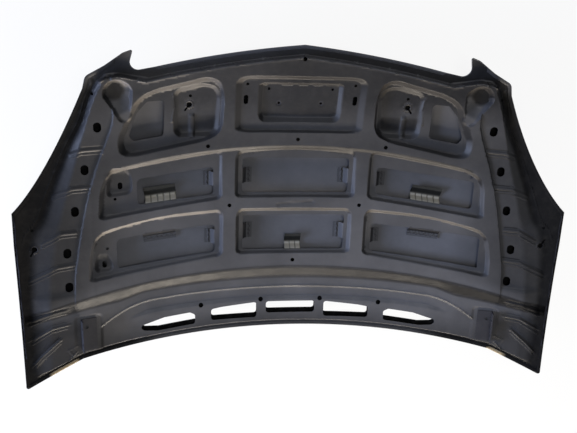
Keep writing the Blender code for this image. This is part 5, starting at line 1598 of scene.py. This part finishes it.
def make_world():
    """Plain pale surround: white where it is seen, soft grey as light."""
    scene.world = bpy.data.worlds.new("studio")
    nodes = Nodes(scene.world)
    path = nodes.add("LightPath")
    seen = nodes.joined("Math", (path, "Is Camera Ray"), (path, "Is Transmission Ray"), operation="MAXIMUM")
    shown = nodes.joined("Math", (seen, 0), (path, "Is Glossy Ray"), operation="MAXIMUM")
    light = nodes.tree.nodes["Background"]
    light.inputs["Color"].default_value = (0.74, 0.8, 0.95, 1)
    light.inputs["Strength"].default_value = 0.12
    nodes.shade(shown, light, nodes.add("Background", Color=WHITE), "World Output")


def make_floor():
    """Pale floor that keeps the shadow."""
    mesh = bpy.data.meshes.new("floor")
    corners = [(-1, -1), (1, -1), (1, 1), (-1, 1)]
    mesh.from_pydata([(FLOOR_HALF * x, FLOOR_HALF * y, 0) for x, y in corners], [], [(0, 1, 2, 3)])
    floor = in_scene("floor", mesh)
    floor.location.z = -FLOOR_GAP
    made, nodes, shader = new_material("pale_floor", 0.5)
    shader.inputs["Base Color"].default_value = (0.86, 0.86, 0.86, 1)
    shader.inputs["Roughness"].default_value = 0.9
    factor = nodes.add("Math", operation="MULTIPLY")
    factor.inputs[1].default_value = 0.9
    nodes.link(nodes.add("LightPath"), "Is Camera Ray", factor, 0)
    nodes.shade(factor, shader, nodes.add("Emission", Color=WHITE), "Material Output")
    mesh.materials.append(made)


scene.view_settings.view_transform = "Standard"
primer = paint("panel_primer", (0.84, 0.84, 0.84), (1.16, 1.16, 1.16), placed=True)
plate_primer = paint("plate_primer", (0.026, 0.026, 0.03), (0.038, 0.038, 0.044))
finish_piece(make_panel(), ["inner_panel"])
skin, rolled = make_skin()
finish_piece(skin, ["outer_skin"])
finish_piece(make_hem(rolled), [])
mastic = speckled("mastic", (0.012, 0.012, 0.013), (0.03, 0.03, 0.03), 0.75, 0.0, 300.0, 0.0003)
nut_steel = speckled("nut_steel", (0.01, 0.01, 0.011), (0.03, 0.03, 0.032), 0.5, 0.4, 400.0, 0.0001)
sealer = speckled("sealer", (0.003, 0.003, 0.004), (0.022, 0.023, 0.028), 0.8, 0.0, 38.0, 0.0004)
for node_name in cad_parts:
    if node_name.startswith("mastic"):
        repaint(node_name, mastic, 0.0003)
    elif node_name.startswith("striker_nut"):
        repaint(node_name, nut_steel, 0.0003)
    elif node_name.startswith("hem_sealer"):
        repaint(node_name, sealer)
    elif node_name not in ("inner_panel", "outer_skin"):
        repaint(node_name, plate_primer, 0.0004)
make_camera()
lamp("rear_lamp", (0.1, -2.5, 0.5), (0.0, 0.0, 0.05), 2.0, 0.6, 150.0, (1.0, 0.9, 0.76))
lamp("left_lamp", (-2.3, -0.5, 0.7), (0.0, 0.0, 0.05), 1.6, 0.9, 100.0, (0.56, 0.68, 1.0))
lamp("top_lamp", (0.3, 0.8, 3.6), (0.0, 0.0, 0.0), 1.2, 1.2, 40.0, (1.0, 1.0, 1.0))
make_world()
make_floor()
